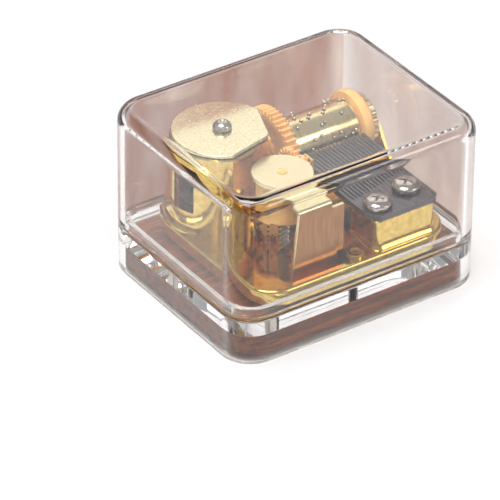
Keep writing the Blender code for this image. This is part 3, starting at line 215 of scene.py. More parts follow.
def polished_acrylic():
    """Injection-moulded clear acrylic, polished: hard edges of light, slight waves from the mould.

    The two far walls carry painted reflection: a warm brown painted into their colour stands in for the
    brown surroundings seen through them.
    """
    material, tree, shader, place = finish_of(
        "polished_acrylic", Roughness=0.0, IOR=1.49, Transmission_Weight=1.0, Specular_IOR_Level=0.3)
    waves = noise(tree, place, "Object", 9, 1.0)
    relief(tree, shader, waves, 0.02, 0.05)
    split = add(tree, "ShaderNodeSeparateXYZ", {}, {"Vector": (place, "Object")})
    fade = 1.0
    # painted reflection: the back wall, and the right wall at 0.7, are coloured brown, darker towards the
    # left, for the surroundings seen through them
    back_wall, right_wall = COVER_HIGH.y - CASE_WALL, COVER_HIGH.x - CASE_WALL
    back = add(tree, "ShaderNodeMapRange",
               {"From Min": (back_wall - fade) * MM, "From Max": back_wall * MM},
               {"Value": (split, "Y")})
    right = add(tree, "ShaderNodeMapRange",
                {"From Min": (right_wall - fade) * MM, "From Max": right_wall * MM, "To Max": 0.7},
                {"Value": (split, "X")})
    far_walls_mask = add(tree, "ShaderNodeMath", {"operation": "MAXIMUM"},
              {0: (back, "Result"), 1: (right, "Result")})
    upright = add(tree, "ShaderNodeMapping", {"Scale": (1.0, 1.0, 0.25)}, {"Vector": (place, "Object")})
    cloud = noise(tree, upright, "Vector", 7, 2.0)
    uneven = add(tree, "ShaderNodeMapRange", {"From Min": 0.3, "From Max": 0.7, "To Min": 0.7,
                                              "To Max": 1.0}, {"Value": (cloud, "Fac")})
    painted_brown_amount = add(tree, "ShaderNodeMath", {"operation": "MULTIPLY"},
                 {0: (far_walls_mask, "Value"), 1: (uneven, "Result")})
    across = add(tree, "ShaderNodeMapRange",
                 {"From Min": COVER_LOW.x * MM, "From Max": COVER_HIGH.x * MM}, {"Value": (split, "X")})
    tone = ramp(tree, across, "Result", ((0.0, "#7A3208"), (0.45, "#8E4A24"), (1.0, "#A06A50")))
    painted_far_brown = add(tree, "ShaderNodeMix", {"data_type": "RGBA", 6: colour("#FDFCFA")},
               {0: (painted_brown_amount, "Value"), 7: (tone, "Color")})
    tree.links.new(painted_far_brown.outputs[2], shader.inputs["Base Color"])
    return let_light_through(material, tree, shader)


def let_light_through(material, tree, shader):
    """Clear stock throws hardly any shadow, so light rays pass it and sight rays are bent by it."""
    rays = add(tree, "ShaderNodeLightPath")
    clear = add(tree, "ShaderNodeBsdfTransparent", {"Color": colour("#F4F2F0")})
    mix = add(tree, "ShaderNodeMixShader", {},
              {0: (rays, "Is Shadow Ray"), 1: (shader, "BSDF"), 2: (clear, "BSDF")})
    tree.links.new(mix.outputs["Shader"], tree.nodes["Material Output"].inputs["Surface"])
    return material


def tray_acrylic():
    """The same acrylic without the painted brown of the far walls, for the thick base: its edges catch white
    light.
    """
    material, tree, shader, place = finish_of(
        "tray_acrylic", Roughness=0.0, IOR=1.49, Transmission_Weight=1.0)
    waves = noise(tree, place, "Object", 5, 2.0)
    relief(tree, shader, waves, 0.05, 0.08)
    paint(tree, shader, waves, "Fac", ((0.3, "#F6F5F3"), (0.7, "#FDFDFD")))
    return let_light_through(material, tree, shader)


def plated_gold(name, light, dark, roughness, grain_mm, wave=0.12):
    """Bright gold plating over a casting or sheet: a warm mirror with soft waves and finer haze."""
    material, tree, shader, place = finish_of(name, Metallic=1.0, Roughness=roughness)
    haze = noise(tree, place, "Object", grain_mm, 3.0)
    paint(tree, shader, haze, "Fac", ((0.3, dark), (0.7, light)))
    vary_roughness(tree, shader, haze, 0.7 * roughness, 1.5 * roughness, (0.3, 0.7))
    swell = noise(tree, place, "Object", 4 * grain_mm, 1.0)
    relief(tree, shader, swell, wave, 0.05)
    return material


def bracket_gold():
    """Rolled and plated sheet with an upright grain; its front face carries painted reflection, a darker
    copper than the pale top, for the brown it reflects.
    """
    material, tree, shader, place = finish_of("bracket_gold", Metallic=1.0, Roughness=0.25)
    stretched = add(tree, "ShaderNodeMapping", {"Scale": (1.0, 1.0, 0.06)},
                    {"Vector": (place, "Object")})
    grain = noise(tree, stretched, "Vector", 0.25, 4.0)
    # painted reflection: faces looking forward take the copper ramp, the rest the pale cream ramp
    top = ramp(tree, grain, "Fac", ((0.3, "#E2D2A0"), (0.7, "#F0E6C2")))
    front = ramp(tree, grain, "Fac", ((0.3, "#9A6A48"), (0.7, "#B88A60")))
    facing = add(tree, "ShaderNodeSeparateXYZ", {}, {"Vector": (place, "Normal")})
    painted_front_mask = add(tree, "ShaderNodeMapRange",
                  {"From Min": -0.85, "From Max": -0.97, "To Min": 0.0, "To Max": 1.0},
                  {"Value": (facing, "Y")})
    tone = add(tree, "ShaderNodeMix", {"data_type": "RGBA"},
               {0: (painted_front_mask, "Result"), 6: (top, "Color"), 7: (front, "Color")})
    tree.links.new(tone.outputs[2], shader.inputs["Base Color"])
    relief(tree, shader, grain, 0.1, 0.02)
    return material


def turned_brass():
    """The drum's drawn brass tube: rings of fine turning marks round a bright satin."""
    material, tree, shader, place = finish_of("turned_brass", Metallic=1.0, Roughness=0.16)
    rings = add(tree, "ShaderNodeMapping", {"Scale": (1.0, 0.02, 0.02)}, {"Vector": (place, "Object")})
    marks = noise(tree, rings, "Vector", 0.2, 3.0)
    paint(tree, shader, marks, "Fac", ((0.3, "#E0C480"), (0.7, "#F6E8B8")))
    vary_roughness(tree, shader, marks, 0.10, 0.26)
    relief(tree, shader, marks, 0.12, 0.02)
    return material


def set_pins_painted_foot_shade():
    """Steel pins plated with the drum, with painted shade: a dark ring painted round each foot where it
    meets the tube.
    """
    material, tree, shader, place = finish_of("set_pins_painted_foot_shade", Metallic=1.0, Roughness=0.2)
    centred = add(tree, "ShaderNodeMapping",
                  {"Scale": (0.0, 1.0, 1.0), "Location": (0.0, -DRUM.y * MM, -DRUM.z * MM)},
                  {"Vector": (place, "Object")})
    out = add(tree, "ShaderNodeVectorMath", {"operation": "LENGTH"}, {0: (centred, "Vector")})
    # painted shade: the pin is dark at its foot, where it meets the tube, and bright above
    rise = add(tree, "ShaderNodeMapRange",
               {"From Min": (DRUM_RADIUS + PIN_FOOT) * MM, "From Max": (DRUM_RADIUS + 0.2) * MM},
               {"Value": (out, "Value")})
    paint(tree, shader, rise, "Result", ((0.0, "#5A4018"), (1.0, "#FFF8E4")))
    return material


def bright_metal(name, light, dark, roughness, mark_mm):
    """Plated, turned or blued steel: a cool mirror with faint tool marks."""
    material, tree, shader, place = finish_of(name, Metallic=1.0, Roughness=roughness)
    marks = noise(tree, place, "Object", mark_mm, 4.0)
    paint(tree, shader, marks, "Fac", ((0.3, dark), (0.7, light)))
    vary_roughness(tree, shader, marks, 0.6 * roughness, 1.5 * roughness)
    return material


def ground_comb_steel():
    """Hardened dark steel, ground along the teeth: near black with a soft white sheen."""
    material, tree, shader, place = finish_of("ground_comb_steel", Metallic=1.0, Roughness=0.3)
    along = add(tree, "ShaderNodeMapping", {"Scale": (1.0, 0.05, 1.0)}, {"Vector": (place, "Object")})
    marks = noise(tree, along, "Vector", 0.22, 4.0)
    paint(tree, shader, marks, "Fac", ((0.3, "#4C484C"), (0.7, "#787378")))
    vary_roughness(tree, shader, marks, 0.2, 0.4)
    relief(tree, shader, marks, 0.15, 0.02)
    return material


def moulded_nylon():
    """Tan moulded nylon: satin, and slightly see-through, so thin teeth glow amber."""
    material, tree, shader, place = finish_of(
        "moulded_nylon", Roughness=0.38, IOR=1.53, Subsurface_Weight=0.2,
        Subsurface_Radius=(1.0, 0.65, 0.3), Subsurface_Scale=0.8 * MM)
    flow = noise(tree, place, "Object", 2.5, 3.0)
    paint(tree, shader, flow, "Fac", ((0.3, "#E0A652"), (0.7, "#F2C272")))
    skin = noise(tree, place, "Object", 0.12, 2.0)
    relief(tree, shader, skin, 0.15, 0.01)
    return material


def oiled_walnut():
    """Oiled walnut, sawn along the box: red-brown bands with short dark pores along the grain."""
    material, tree, shader, place = finish_of("oiled_walnut", Roughness=0.42, IOR=1.5)
    along = add(tree, "ShaderNodeMapping", {"Scale": (0.06, 1.0, 1.0), "Rotation": (0.1, 0.05, 0.04)},
                {"Vector": (place, "Object")})
    bands = noise(tree, along, "Vector", 1.6, 5.0, distortion=0.6)
    tone = ramp(tree, bands, "Fac", ((0.3, "#451A06"), (0.5, "#8A4214"), (0.7, "#AC5E28")))
    pores = noise(tree, along, "Vector", 0.25, 3.0)
    dark = ramp(tree, pores, "Fac", ((0.40, "#3A1808"), (0.56, "#FFFFFF")))
    both = add(tree, "ShaderNodeMix", {"data_type": "RGBA", "blend_type": "MULTIPLY", 0: 0.7},
               {6: (tone, "Color"), 7: (dark, "Color")})
    tree.links.new(both.outputs[2], shader.inputs["Base Color"])
    relief(tree, shader, pores, 0.3, 0.05)
    return material


# ---------------------------------------------------------------- making meshes
def mesh_of(name, shape):
    """A mesh from (vertices, faces) in millimetres, its faces turned outwards."""
    vertices, faces = shape
    mesh = bpy.data.meshes.new(name)
    mesh.from_pydata([Vector(v) * MM for v in vertices], [], faces)
    face_outwards(mesh)
    return mesh


def face_outwards(mesh):
    """Turns a mesh's faces outwards."""
    work = bmesh.new()
    work.from_mesh(mesh)
    bmesh.ops.recalc_face_normals(work, faces=work.faces)
    work.to_mesh(mesh)
    work.free()


def piece(name, shape, body, finish, replaces=(), sharp=40, edge=0.0, even=False):
    """A named piece from (vertices, faces) in millimetres, riding on a body.

    edge rounds its sharp edges by so many millimetres; even keeps flat faces flat beside round ones.
    """
    return dress(name, mesh_of(name, shape), body, finish, replaces, sharp, edge, even)


def dress(name, mesh, body, finish, replaces=(), sharp=40, edge=0.0, even=False):
    """Gives a mesh its finish, shading and body."""
    mesh.shade_smooth()
    mesh.set_sharp_from_angle(angle=math.radians(sharp))
    mesh.materials.clear()
    mesh.materials.append(finish)
    obj = bpy.data.objects.new(name, mesh)
    bpy.context.scene.collection.objects.link(obj)
    if edge:
        bevel = obj.modifiers.new("rounded_edges", "BEVEL")
        bevel.width = edge * MM
        bevel.segments = 2
        bevel.limit_method = "ANGLE"
        bevel.angle_limit = math.radians(35)
        bevel.harden_normals = True
    if even:
        obj.modifiers.new("flat_faces", "WEIGHTED_NORMAL").keep_sharp = True
    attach(obj, body)
    if replaces:
        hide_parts(*replaces)
    return obj


def finer(node, finish, edge=0.0, sharp=35):
    """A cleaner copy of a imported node, with joined faces, smooth rounds and softened edges."""
    mesh = frame["nodes"][node].data.copy()
    mesh.normals_split_custom_set([(0, 0, 0)] * len(mesh.loops))
    work = bmesh.new()
    work.from_mesh(mesh)
    bmesh.ops.remove_doubles(work, verts=work.verts, dist=0.001 * MM)
    bmesh.ops.dissolve_limit(work, angle_limit=math.radians(0.5), verts=work.verts, edges=work.edges)
    work.to_mesh(mesh)
    work.free()
    face_outwards(mesh)
    body = frame["nodes"][node]["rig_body"]
    return dress(node + "_finish", mesh, body, finish, (node,), sharp, edge)


def cut(obj, shape):
    """Cuts a shape out of a piece and keeps the result as its mesh."""
    cutter = bpy.data.objects.new("cutter", mesh_of("cutter", shape))
    bpy.context.scene.collection.objects.link(cutter)
    others = [(m, m.show_viewport) for m in obj.modifiers]
    for modifier, _ in others:
        modifier.show_viewport = False
    boolean = obj.modifiers.new("cut", "BOOLEAN")
    boolean.operation = "DIFFERENCE"
    boolean.object = cutter
    bpy.context.view_layer.update()
    result = bpy.data.meshes.new_from_object(obj.evaluated_get(bpy.context.evaluated_depsgraph_get()))
    finish = obj.data.materials[0]
    obj.modifiers.remove(boolean)
    obj.data = result
    result.materials.clear()
    result.materials.append(finish)
    for modifier, shown in others:
        modifier.show_viewport = shown
    bpy.data.objects.remove(cutter)
    result.shade_smooth()
    result.set_sharp_from_angle(angle=math.radians(35))


def loft(rings, closed=False):
    """Skins rings of equal point counts: capped at both ends, or closed on itself."""
    count = len(rings[0])
    faces = []
    last = len(rings) if closed else len(rings) - 1
    for level in range(last):
        low, high = level * count, (level + 1) % len(rings) * count
        for i in range(count):
            j = (i + 1) % count
            faces.append((low + i, low + j, high + j, high + i))
    if not closed:
        faces.append(tuple(reversed(range(count))))
        faces.append(tuple(range(last * count, (last + 1) * count)))
    return [point for ring in rings for point in ring], faces


def on_axis(axis, u, v, w):
    """A point from two values across an X or Z axis and one along it."""
    return (w, u, v) if axis == "x" else (u, v, w)


def turned(profile, axis, centre, steps=64, closed=False):
    """Turns (radius, distance along) points round an axis through a centre."""
    rings = []
    for radius, along in profile:
        ring = []
        for i in range(steps):
            angle = 2 * math.pi * i / steps
            ring.append(on_axis(axis, centre[0] + radius * math.cos(angle),
                                centre[1] + radius * math.sin(angle), along))
        rings.append(ring)
    return loft(rings, closed)


def arc(centre, radius, start, end, steps):
    """Points round a centre from a start angle to an end angle, in degrees."""
    points = []
    for i in range(steps + 1):
        angle = math.radians(start + (end - start) * i / steps)
        points.append((centre[0] + radius * math.cos(angle), centre[1] + radius * math.sin(angle)))
    return points


def rounded_outline(low, high, radii, inset=0.0, steps=10):
    """A rectangle moved in by an inset, its corner radii given from front left anticlockwise."""
    x0, y0, x1, y1 = low[0] + inset, low[1] + inset, high[0] - inset, high[1] - inset
    a, b, c, d = (max(radius - inset, 0.1) for radius in radii)
    return (arc((x0 + a, y0 + a), a, 180, 270, steps) + arc((x1 - b, y0 + b), b, 270, 360, steps)
            + arc((x1 - c, y1 - c), c, 0, 90, steps) + arc((x0 + d, y1 - d), d, 90, 180, steps))


def quarter(radius, steps, inset=0.0, level=0.0):
    """(inset, height) pairs up a rounded edge, from its wall to its top."""
    pairs = []
    for i in range(steps + 1):
        angle = math.pi / 2 * i / steps
        pairs.append((inset + radius * (1 - math.cos(angle)), level - radius * (1 - math.sin(angle))))
    return pairs


def stacked(outline, levels):
    """Rings of an outline function at (inset, height) levels, skinned into a solid."""
    return loft([[(x, y, z) for x, y in outline(inset)] for inset, z in levels])


def prism(outline, axis, start, end):
    """An outline carried along an axis."""
    return loft([[on_axis(axis, u, v, w) for u, v in outline] for w in (start, end)])


def block(low, high):
    """A box between two corners."""
    corners = ((low[0], low[1]), (high[0], low[1]), (high[0], high[1]), (low[0], high[1]))
    return prism(corners, "z", low[2], high[2])


def gear_outline(teeth, module, phase=0.0, thickness=0.42, addendum=1.0, dedendum=1.3):
    """Teeth with rounded tips, the first centred on the phase angle."""
    pitch = module * teeth / 2
    tip, root = pitch + addendum * module, pitch - dedendum * module
    half = thickness * math.pi * module / 2
    points = []
    for tooth in range(teeth):
        middle = phase + tooth * 2 * math.pi / teeth
        for radius, width in ((root, 1.5 * half), (pitch, half), (tip - 0.1 * module, 0.62 * half),
                              (tip, 0.35 * half)):
            points.append((radius, middle - width / radius))
        for radius, width in ((tip, 0.35 * half), (tip - 0.1 * module, 0.62 * half), (pitch, half),
                              (root, 1.5 * half)):
            points.append((radius, middle + width / radius))
    return points


def toothed_wheel(outline, centre, levels):
    """A wheel on an X axis: levels are (share, radius, x), share 1 on the teeth and 0 on a circle."""
    rings = []
    for share, radius, x in levels:
        ring = []
        for tooth_radius, angle in outline:
            r = share * (tooth_radius - radius) + (1 - share) * radius if share else radius
            ring.append((x, centre[0] + r * math.cos(angle), centre[1] + r * math.sin(angle)))
        rings.append(ring)
    return loft(rings, closed=True)


# ---------------------------------------------------------------- case
def case_outline(inset):
    """The case's plan, moved in by an inset."""
    return rounded_outline(TRAY_LOW, TRAY_HIGH, (CASE_CORNER,) * 4, inset, 14)


def make_case(cover_finish, tray_finish, wood):
    """The lift-off cover, the base tray under it and the board set into the tray's underside."""
    top, bottom = COVER_HIGH.z, COVER_LOW.z
    lip = 0.3
    inner_round = CASE_TOP_ROUND - CASE_WALL
    inside = list(reversed(quarter(inner_round, 7, CASE_WALL, top - CASE_WALL)))
    inside += [(CASE_WALL, bottom + lip), (CASE_WALL + 0.05, bottom)]
    outside = [(lip, bottom), (0.0, bottom + lip)] + quarter(CASE_TOP_ROUND, 9, 0.0, top)
    piece("clear_cover", stacked(case_outline, inside + outside), "cover", cover_finish,
          ("top_cover",), 60, even=True)

    seam = bottom - SEAM_GAP
    floor_top = seam - 0.5
    edge = 0.2
    lip_out = CASE_WALL + SEAM_GAP
    lip_in = lip_out + LIP_THICKNESS
    levels = [(lip_in, floor_top), (lip_in, TRAY_HIGH.z - edge), (lip_in - edge, TRAY_HIGH.z),
              (lip_out + edge, TRAY_HIGH.z), (lip_out, TRAY_HIGH.z - edge), (lip_out, seam)]
    levels += [(0.35, seam), (0.1, seam - 0.1), (0.0, seam - 0.35), (0.0, 0.6), (0.18, 0.18), (0.6, 0.0),
               (CASE_WALL - edge, 0.0), (CASE_WALL, edge), (CASE_WALL, floor_top - FLOOR_THICKNESS)]
    piece("clear_tray", stacked(case_outline, levels), "case_and_frame", tray_finish,
          ("base_tray",), 60, even=True)

    def board_outline(inset):
        return case_outline(CASE_WALL + SEAM_GAP + inset)

    low, high = PANEL_LOW.z, PANEL_HIGH.z
    board = piece("walnut_board", stacked(board_outline, ((0.3, low), (0, low + 0.3), (0, high - 0.15),
                                                          (0.15, high))),
                  "case_and_frame", wood, ("walnut_panel",), 30)
    cut(board, turned(((KEY_RECESS_RADIUS, low - 1), (KEY_RECESS_RADIUS, high + 1)), "z", BARREL))


# ---------------------------------------------------------------- movement frame
def make_bed(gold):
    """The cast bedplate with its sunk floor."""
    low, high = BED_LOW.z, BED_TOP
    radii = (6.0, 8.0, 8.0, 11.0)

    def outline(inset):
        return rounded_outline(BED_LOW, BED_HIGH, radii, inset, 10)

    levels = [(0.2, low), (0.0, low + 0.2), (0.0, high - 0.7)] + quarter(0.7, 4, 0.0, high)[1:]
    bed = piece("bed_casting", stacked(outline, levels), "case_and_frame", gold,
                ("bedplate",), 40, even=True)
    well_low, well_high = (BED_LOW.x + 6.6, BED_LOW.y + 1.7), (GEAR_HIGH.x + 1.2, 3.7)
    well = rounded_outline(well_low, well_high, (2.5, 1, 0.8, 0.8))
    cut(bed, prism(well, "z", WELL_FLOOR, high + 1))


def make_barrel(gold):
    """The bedplate's spring barrel, with its window, two flats, wheel rooms and the ring round its foot."""
    high, wall_top = BED_TOP, PLATE_LOW.z - SEAT_GAP
    bore, arbor_hole, edge, floor = BARREL_RADIUS - BARREL_WALL, 2.3, 0.3, high + 0.7
    profile = [(BARREL_RADIUS, WELL_FLOOR), (BARREL_RADIUS, wall_top - edge),
               (BARREL_RADIUS - edge, wall_top), (bore, wall_top), (bore, floor), (arbor_hole, floor),
               (arbor_hole, WELL_FLOOR)]
    barrel = piece("barrel_casting", turned(profile, "z", BARREL, 96, closed=True), "case_and_frame",
                   gold, (), 30)
    window_low = (BARREL.x - 12.5, BARREL.y - 5.6, high + 5.0)
    window_high = (BARREL.x - 7.0, BARREL.y - 0.4, high + 14.5)
    cut(barrel, block(window_low, window_high))
    for angle, distance in BARREL_FLATS:
        cut(barrel, beyond_flat(angle, distance, FLY_LOW.z - 0.5, wall_top + 1))
    for node, room, reach in (("drum_gear", 0.5, 0.5), ("drive_pinion", 0.5, 1.0),
                              ("worm_wheel", 0.5, 0.5), ("drum_shaft", 0.25, 0.25)):
        cut(barrel, wheel_room(node, room, reach))
    foot_ring = [(BARREL_RADIUS + out, high + rise)
                 for out, rise in ((1.0, -0.2), (1.0, 0.5), (0.6, 0.9), (-0.1, 1.0), (-0.1, -0.2))]
    ring = piece("barrel_foot_ring", turned(foot_ring, "z", BARREL, 96, closed=True),
                 "case_and_frame", gold, (), 30)
    cut(ring, block((BARREL.x - 10, BARREL.y - 14, high - 1), (BARREL.x + 14, BARREL.y + 13, high + 2)))


def make_bed_blocks(gold):
    """What else stands on the bedplate: the comb's block, a ring boss and the right bearing post."""
    high = BED_TOP
    block_low = (COMB_LOW.x + 1.0, COMB_LOW.y + 0.4)
    block_high = (COMB_HIGH.x - 0.9, COMB_LOW.y + 11.0)

    def comb_block(inset):
        return rounded_outline(block_low, block_high, (1.6, 1.2, 1.2, 1.6), inset, 6)

    top = COMB_LOW.z - SEAT_GAP
    levels = [(-0.5, high - 0.1), (-0.4, high + 0.15), (0.0, high + 0.6), (0.0, top - 0.3), (0.1, top - 0.1),
              (0.3, top)]
    piece("comb_block", stacked(comb_block, levels), "case_and_frame", gold, (), 40,
          even=True)
    boss = (BRACKET_LOW.x + 16.0, BRACKET_LOW.y - 0.8)
    profile = [(1.9, high - 0.2), (1.9, high + 0.7), (1.7, high + 0.9), (1.2, high + 0.9),
               (1.05, high + 0.75), (1.05, high - 0.2)]
    piece("ring_boss", turned(profile, "z", boss, 40, closed=True), "case_and_frame", gold,
          (), 30)
    post_x = GEAR_HIGH.x + SEAT_GAP
    post_front, post_top = -3.0, FIRST.z + 1.5
    post = ((post_front, WELL_FLOOR), (FIRST.y + 2.0, WELL_FLOOR), (FIRST.y + 1.6, post_top),
            (FIRST.y - 1.6, post_top))
    piece("right_post", prism(post, "x", post_x, post_x + 0.7), "case_and_frame", gold,
          (), 30, edge=0.15)


def wheel_room(node, room, reach):
    """The space that a packed wheel or shaft on an X axis turns in."""
    low, high = sizes_of(node)
    radius = (high.y - low.y) / 2 + room
    centre = ((low.y + high.y) / 2, (low.z + high.z) / 2)
    return turned(((radius, low.x - reach), (radius, high.x + reach)), "x", centre, 64)


def beyond_flat(angle, distance, low, high):
    """Everything past an upright flat on the barrel."""
    out = Vector((math.cos(math.radians(angle)), math.sin(math.radians(angle))))
    side = Vector((-out.y, out.x)) * BARREL_RADIUS
    near = BARREL.xy + out * distance
    far_walls_mask = BARREL.xy + out * (BARREL_RADIUS + 1)
    return prism([tuple(p) for p in (near - side, far_walls_mask - side, far_walls_mask + side, near + side)], "z", low, high)


def plate_outline():
    """A disc with the barrel's two flats, which meet in a rounded corner."""
    radius = BARREL_RADIUS - PLATE_STEP
    (first, near), (second, far_walls_mask) = BARREL_FLATS
    a, b = near - PLATE_STEP - PLATE_CORNER, far_walls_mask - PLATE_STEP - PLATE_CORNER
    train, governor = math.radians(first), math.radians(second)
    cross = math.sin(governor - train)
    middle = (BARREL.x + (a * math.sin(governor) - b * math.sin(train)) / cross,
              BARREL.y + (b * math.cos(train) - a * math.cos(governor)) / cross)
    start = first + math.degrees(math.acos((near - PLATE_STEP) / radius))
    end = second - math.degrees(math.acos((far_walls_mask - PLATE_STEP) / radius))
    return arc(BARREL, radius, start, end + 360, 64) + arc(middle, PLATE_CORNER, second, first, 12)


def make_barrel_plate(finish):
    """The crimped top plate."""
    piece("barrel_lid", prism(plate_outline(), "z", PLATE_LOW.z, PLATE_HIGH.z), "case_and_frame", finish,
          ("barrel_plate",), 30, edge=0.3)


# ---------------------------------------------------------------- drum
def make_drum(brass, nylon, gold, pin_finish):
    """The drum's tube, its pins in rows along the comb, the nylon collar and the lobed end ring."""
    centre = (DRUM.y, DRUM.z)
    left, right = DRUM_LOW.x, DRUM_HIGH.x
    edge = 0.2
    profile = [(DRUM_BORE, left), (DRUM_RADIUS - edge, left), (DRUM_RADIUS, left + edge),
               (DRUM_RADIUS, right - edge), (DRUM_RADIUS - edge, right), (DRUM_BORE, right)]
    piece("drum_tube", turned(profile, "x", centre, 96, closed=True), "drum_arbor", brass,
          ("drum",), 30)
    vertices, faces = [], []
    for track in range(TOOTH_COUNT):
        notes = 3 + (track * 5) % 3
        for note in range(notes):
            spread = (note * track * 13) % 29
            angle = math.radians(180 + track * 47 + note * 360 / notes + spread)
            pin_vertices, pin_faces = drum_pin(COMB_LOW.x + (track + 0.5) * TOOTH_PITCH, angle)
            base = len(vertices)
            vertices += pin_vertices
            faces += [tuple(base + i for i in face) for face in pin_faces]
    piece("drum_pins", (vertices, faces), "drum_arbor", pin_finish, (), 50)

    left, right = COLLAR_LOW.x, COLLAR_HIGH.x
    radius = (COLLAR_HIGH.y - COLLAR_LOW.y) / 2
    profile = [(DRUM_BORE, left), (radius - 0.6, left), (radius - 0.15, left + 0.15),
               (radius, left + 0.6)]
    profile += [(radius - inset, right + rise) for inset, rise in quarter(COLLAR_ROUND, 6)]
    profile += [(DRUM_BORE, right)]
    piece("nylon_collar", turned(profile, "x", centre, 72, closed=True), "drum_arbor", nylon,
          ("drum_collar",), 30)

    left, right = END_LOW.x, END_HIGH.x
    lobes = []
    points = LOBE_COUNT * 8
    for i in range(points):
        angle = 2 * math.pi * i / points
        lobes.append((LOBE_RADIUS + LOBE_RISE * abs(math.cos(LOBE_COUNT * angle / 2)), angle))
    web = right - 0.5
    levels = ((1, 0.0, left), (1, 0.0, right - 0.25), (1, 0.2, right), (0, 4.2, right), (0, 4.0, web),
              (0, DRUM_BORE, web), (0, DRUM_BORE, left))
    piece("end_ring", toothed_wheel(lobes, centre, levels), "drum_arbor", gold,
          ("drum_end_ring",), 35)


def drum_pin(x, angle):
    """A pin with a raised ring round its foot, which the pin finish paints dark as shade, and a domed tip.
    """
    out = Vector((0.0, math.cos(angle), math.sin(angle)))
    side = Vector((0.0, -math.sin(angle), math.cos(angle)))
    along = Vector((1.0, 0.0, 0.0))
    start = Vector((x, DRUM.y, DRUM.z))
    rings = []
    for radius, reach in ((0.48, -0.1), (0.46, PIN_FOOT / 2), (PIN_RADIUS, PIN_FOOT),
                          (PIN_RADIUS, 0.5), (0.16, 0.58), (0.06, 0.6)):
        ring = []
        for i in range(PIN_SIDES):
            turn = 2 * math.pi * i / PIN_SIDES
            ring.append(tuple(start + out * (DRUM_RADIUS + reach)
                              + (along * math.cos(turn) + side * math.sin(turn)) * radius))
        rings.append(ring)
    return loft(rings)


def make_train_wheels(nylon):
    """The drum's driving wheel, with a sunk web, and the small wheel beside it."""
    to_first = math.atan2(FIRST.z - DRUM.z, FIRST.y - DRUM.y)
    outline = gear_outline(DRUM_GEAR_TEETH, TRAIN_MODULE, to_first)
    left, right = GEAR_LOW.x, GEAR_HIGH.x
    hub, rim, web = 2.5, 8.1, left + 1.0
    levels = ((1, 0.06, left), (1, 0.0, left + 0.08), (1, 0.0, right - 0.08), (1, 0.06, right),
              (0, DRUM_BORE, right), (0, DRUM_BORE, left + 0.2), (0, hub - 0.1, left + 0.2),
              (0, hub, left + 0.3), (0, hub, web), (0, rim - 0.2, web), (0, rim - 0.1, left + 0.1),
              (0, rim, left))
    piece("drum_wheel", toothed_wheel(outline, (DRUM.y, DRUM.z), levels), "drum_arbor", nylon,
          ("drum_gear",), 35)
    second = axis_place("second_shaft_spin")
    to_second = math.atan2(second.z - FIRST.z, second.y - FIRST.y)
    outline = gear_outline(FIRST_WHEEL_TEETH, TRAIN_MODULE, to_second, 0.40)
    left, right = FIRST_LOW.x, FIRST_HIGH.x
    bore, web = 0.75, right - 0.3
    levels = ((1, 0.05, left), (1, 0.0, left + 0.06), (1, 0.0, right - 0.06), (1, 0.05, right),
              (0, 3.3, right), (0, 3.2, web), (0, bore, web), (0, bore, left))
    piece("small_wheel", toothed_wheel(outline, (FIRST.y, FIRST.z), levels), "first_shaft", nylon,
          ("first_wheel",), 35)


# ---------------------------------------------------------------- comb
def make_comb(steel):
    """The comb: a plate with cut corners, and teeth that get shorter to the right."""
    left, right = COMB_LOW.x, COMB_LOW.x + TOOTH_COUNT * TOOTH_PITCH
    front, tip = COMB_LOW.y, COMB_HIGH.y
    left_width, left_depth, right_corner = 2.2, 3.4, 1.32
    root_depth, root_slope = 8.6, 4.2
    tip_taper, tip_length = 0.15, 0.7
    outline = [(left, front + left_depth), (left + left_width, front), (right - right_corner, front),
               (right, front + right_corner)]
    for tooth in range(TOOTH_COUNT - 1, -1, -1):
        x0 = left + tooth * TOOTH_PITCH + TOOTH_GAP / 2
        x1 = x0 + TOOTH_PITCH - TOOTH_GAP
        root = front + root_depth + root_slope * tooth / (TOOTH_COUNT - 1)
        if tooth < TOOTH_COUNT - 1:
            outline += [(x1 + 0.1, root - 0.1), (x1, root)]
        else:
            x1 = right
        if tooth == 0:
            x0 = left
        outline += [(x1, tip - tip_length), (x1 - tip_taper, tip), (x0 + tip_taper, tip),
                    (x0, tip - tip_length)]
        if tooth > 0:
            outline += [(x0, root), (x0 - 0.1, root - 0.1)]
    piece("steel_comb", prism(outline, "z", COMB_LOW.z, COMB_HIGH.z), "case_and_frame", steel,
          ("comb",), 20, edge=0.06)


def make_screw(name, node, finish):
    """A pan head screw with a domed top and a cross recess."""
    low, high = sizes_of(node)
    x, y = (low.x + high.x) / 2, (low.y + high.y) / 2
    radius = (high.x - low.x) / 2
    seat = COMB_HIGH.z + SEAT_GAP
    rim = seat + SCREW_RIM
    profile = [(SCREW_SHANK, low.z), (SCREW_SHANK, seat), (radius - 0.15, seat), (radius, seat + 0.15),
               (radius, rim)]
    steps, flat_top = 8, 0.02
    for i in range(1, steps + 1):
        share = i / steps
        profile.append((radius * math.sqrt(max(1 - share ** 2.2, 0.0)) + flat_top,
                        rim + (high.z - rim) * share))
    screw = piece(name, turned(profile, "z", (x, y), 64), "case_and_frame", finish, (node,), 40)
    reach, half, depth, turned_by = 1.75, 0.33, 1.0, 35
    turn = Matrix.Rotation(math.radians(turned_by), 2)
    rings = []
    for share, z in ((0.55, high.z - depth), (1.0, high.z + 0.4)):
        r, h = reach * share, half * (0.6 + 0.4 * share)
        bar = ((-r, -h), (-h, -h), (-h, -r), (h, -r), (h, -h), (r, -h), (r, h), (h, h), (h, r),
               (-h, r), (-h, h), (-r, h))
        rings.append([(x + p.x, y + p.y, z) for p in (turn @ Vector(c) for c in bar)])
    cut(screw, loft(rings))


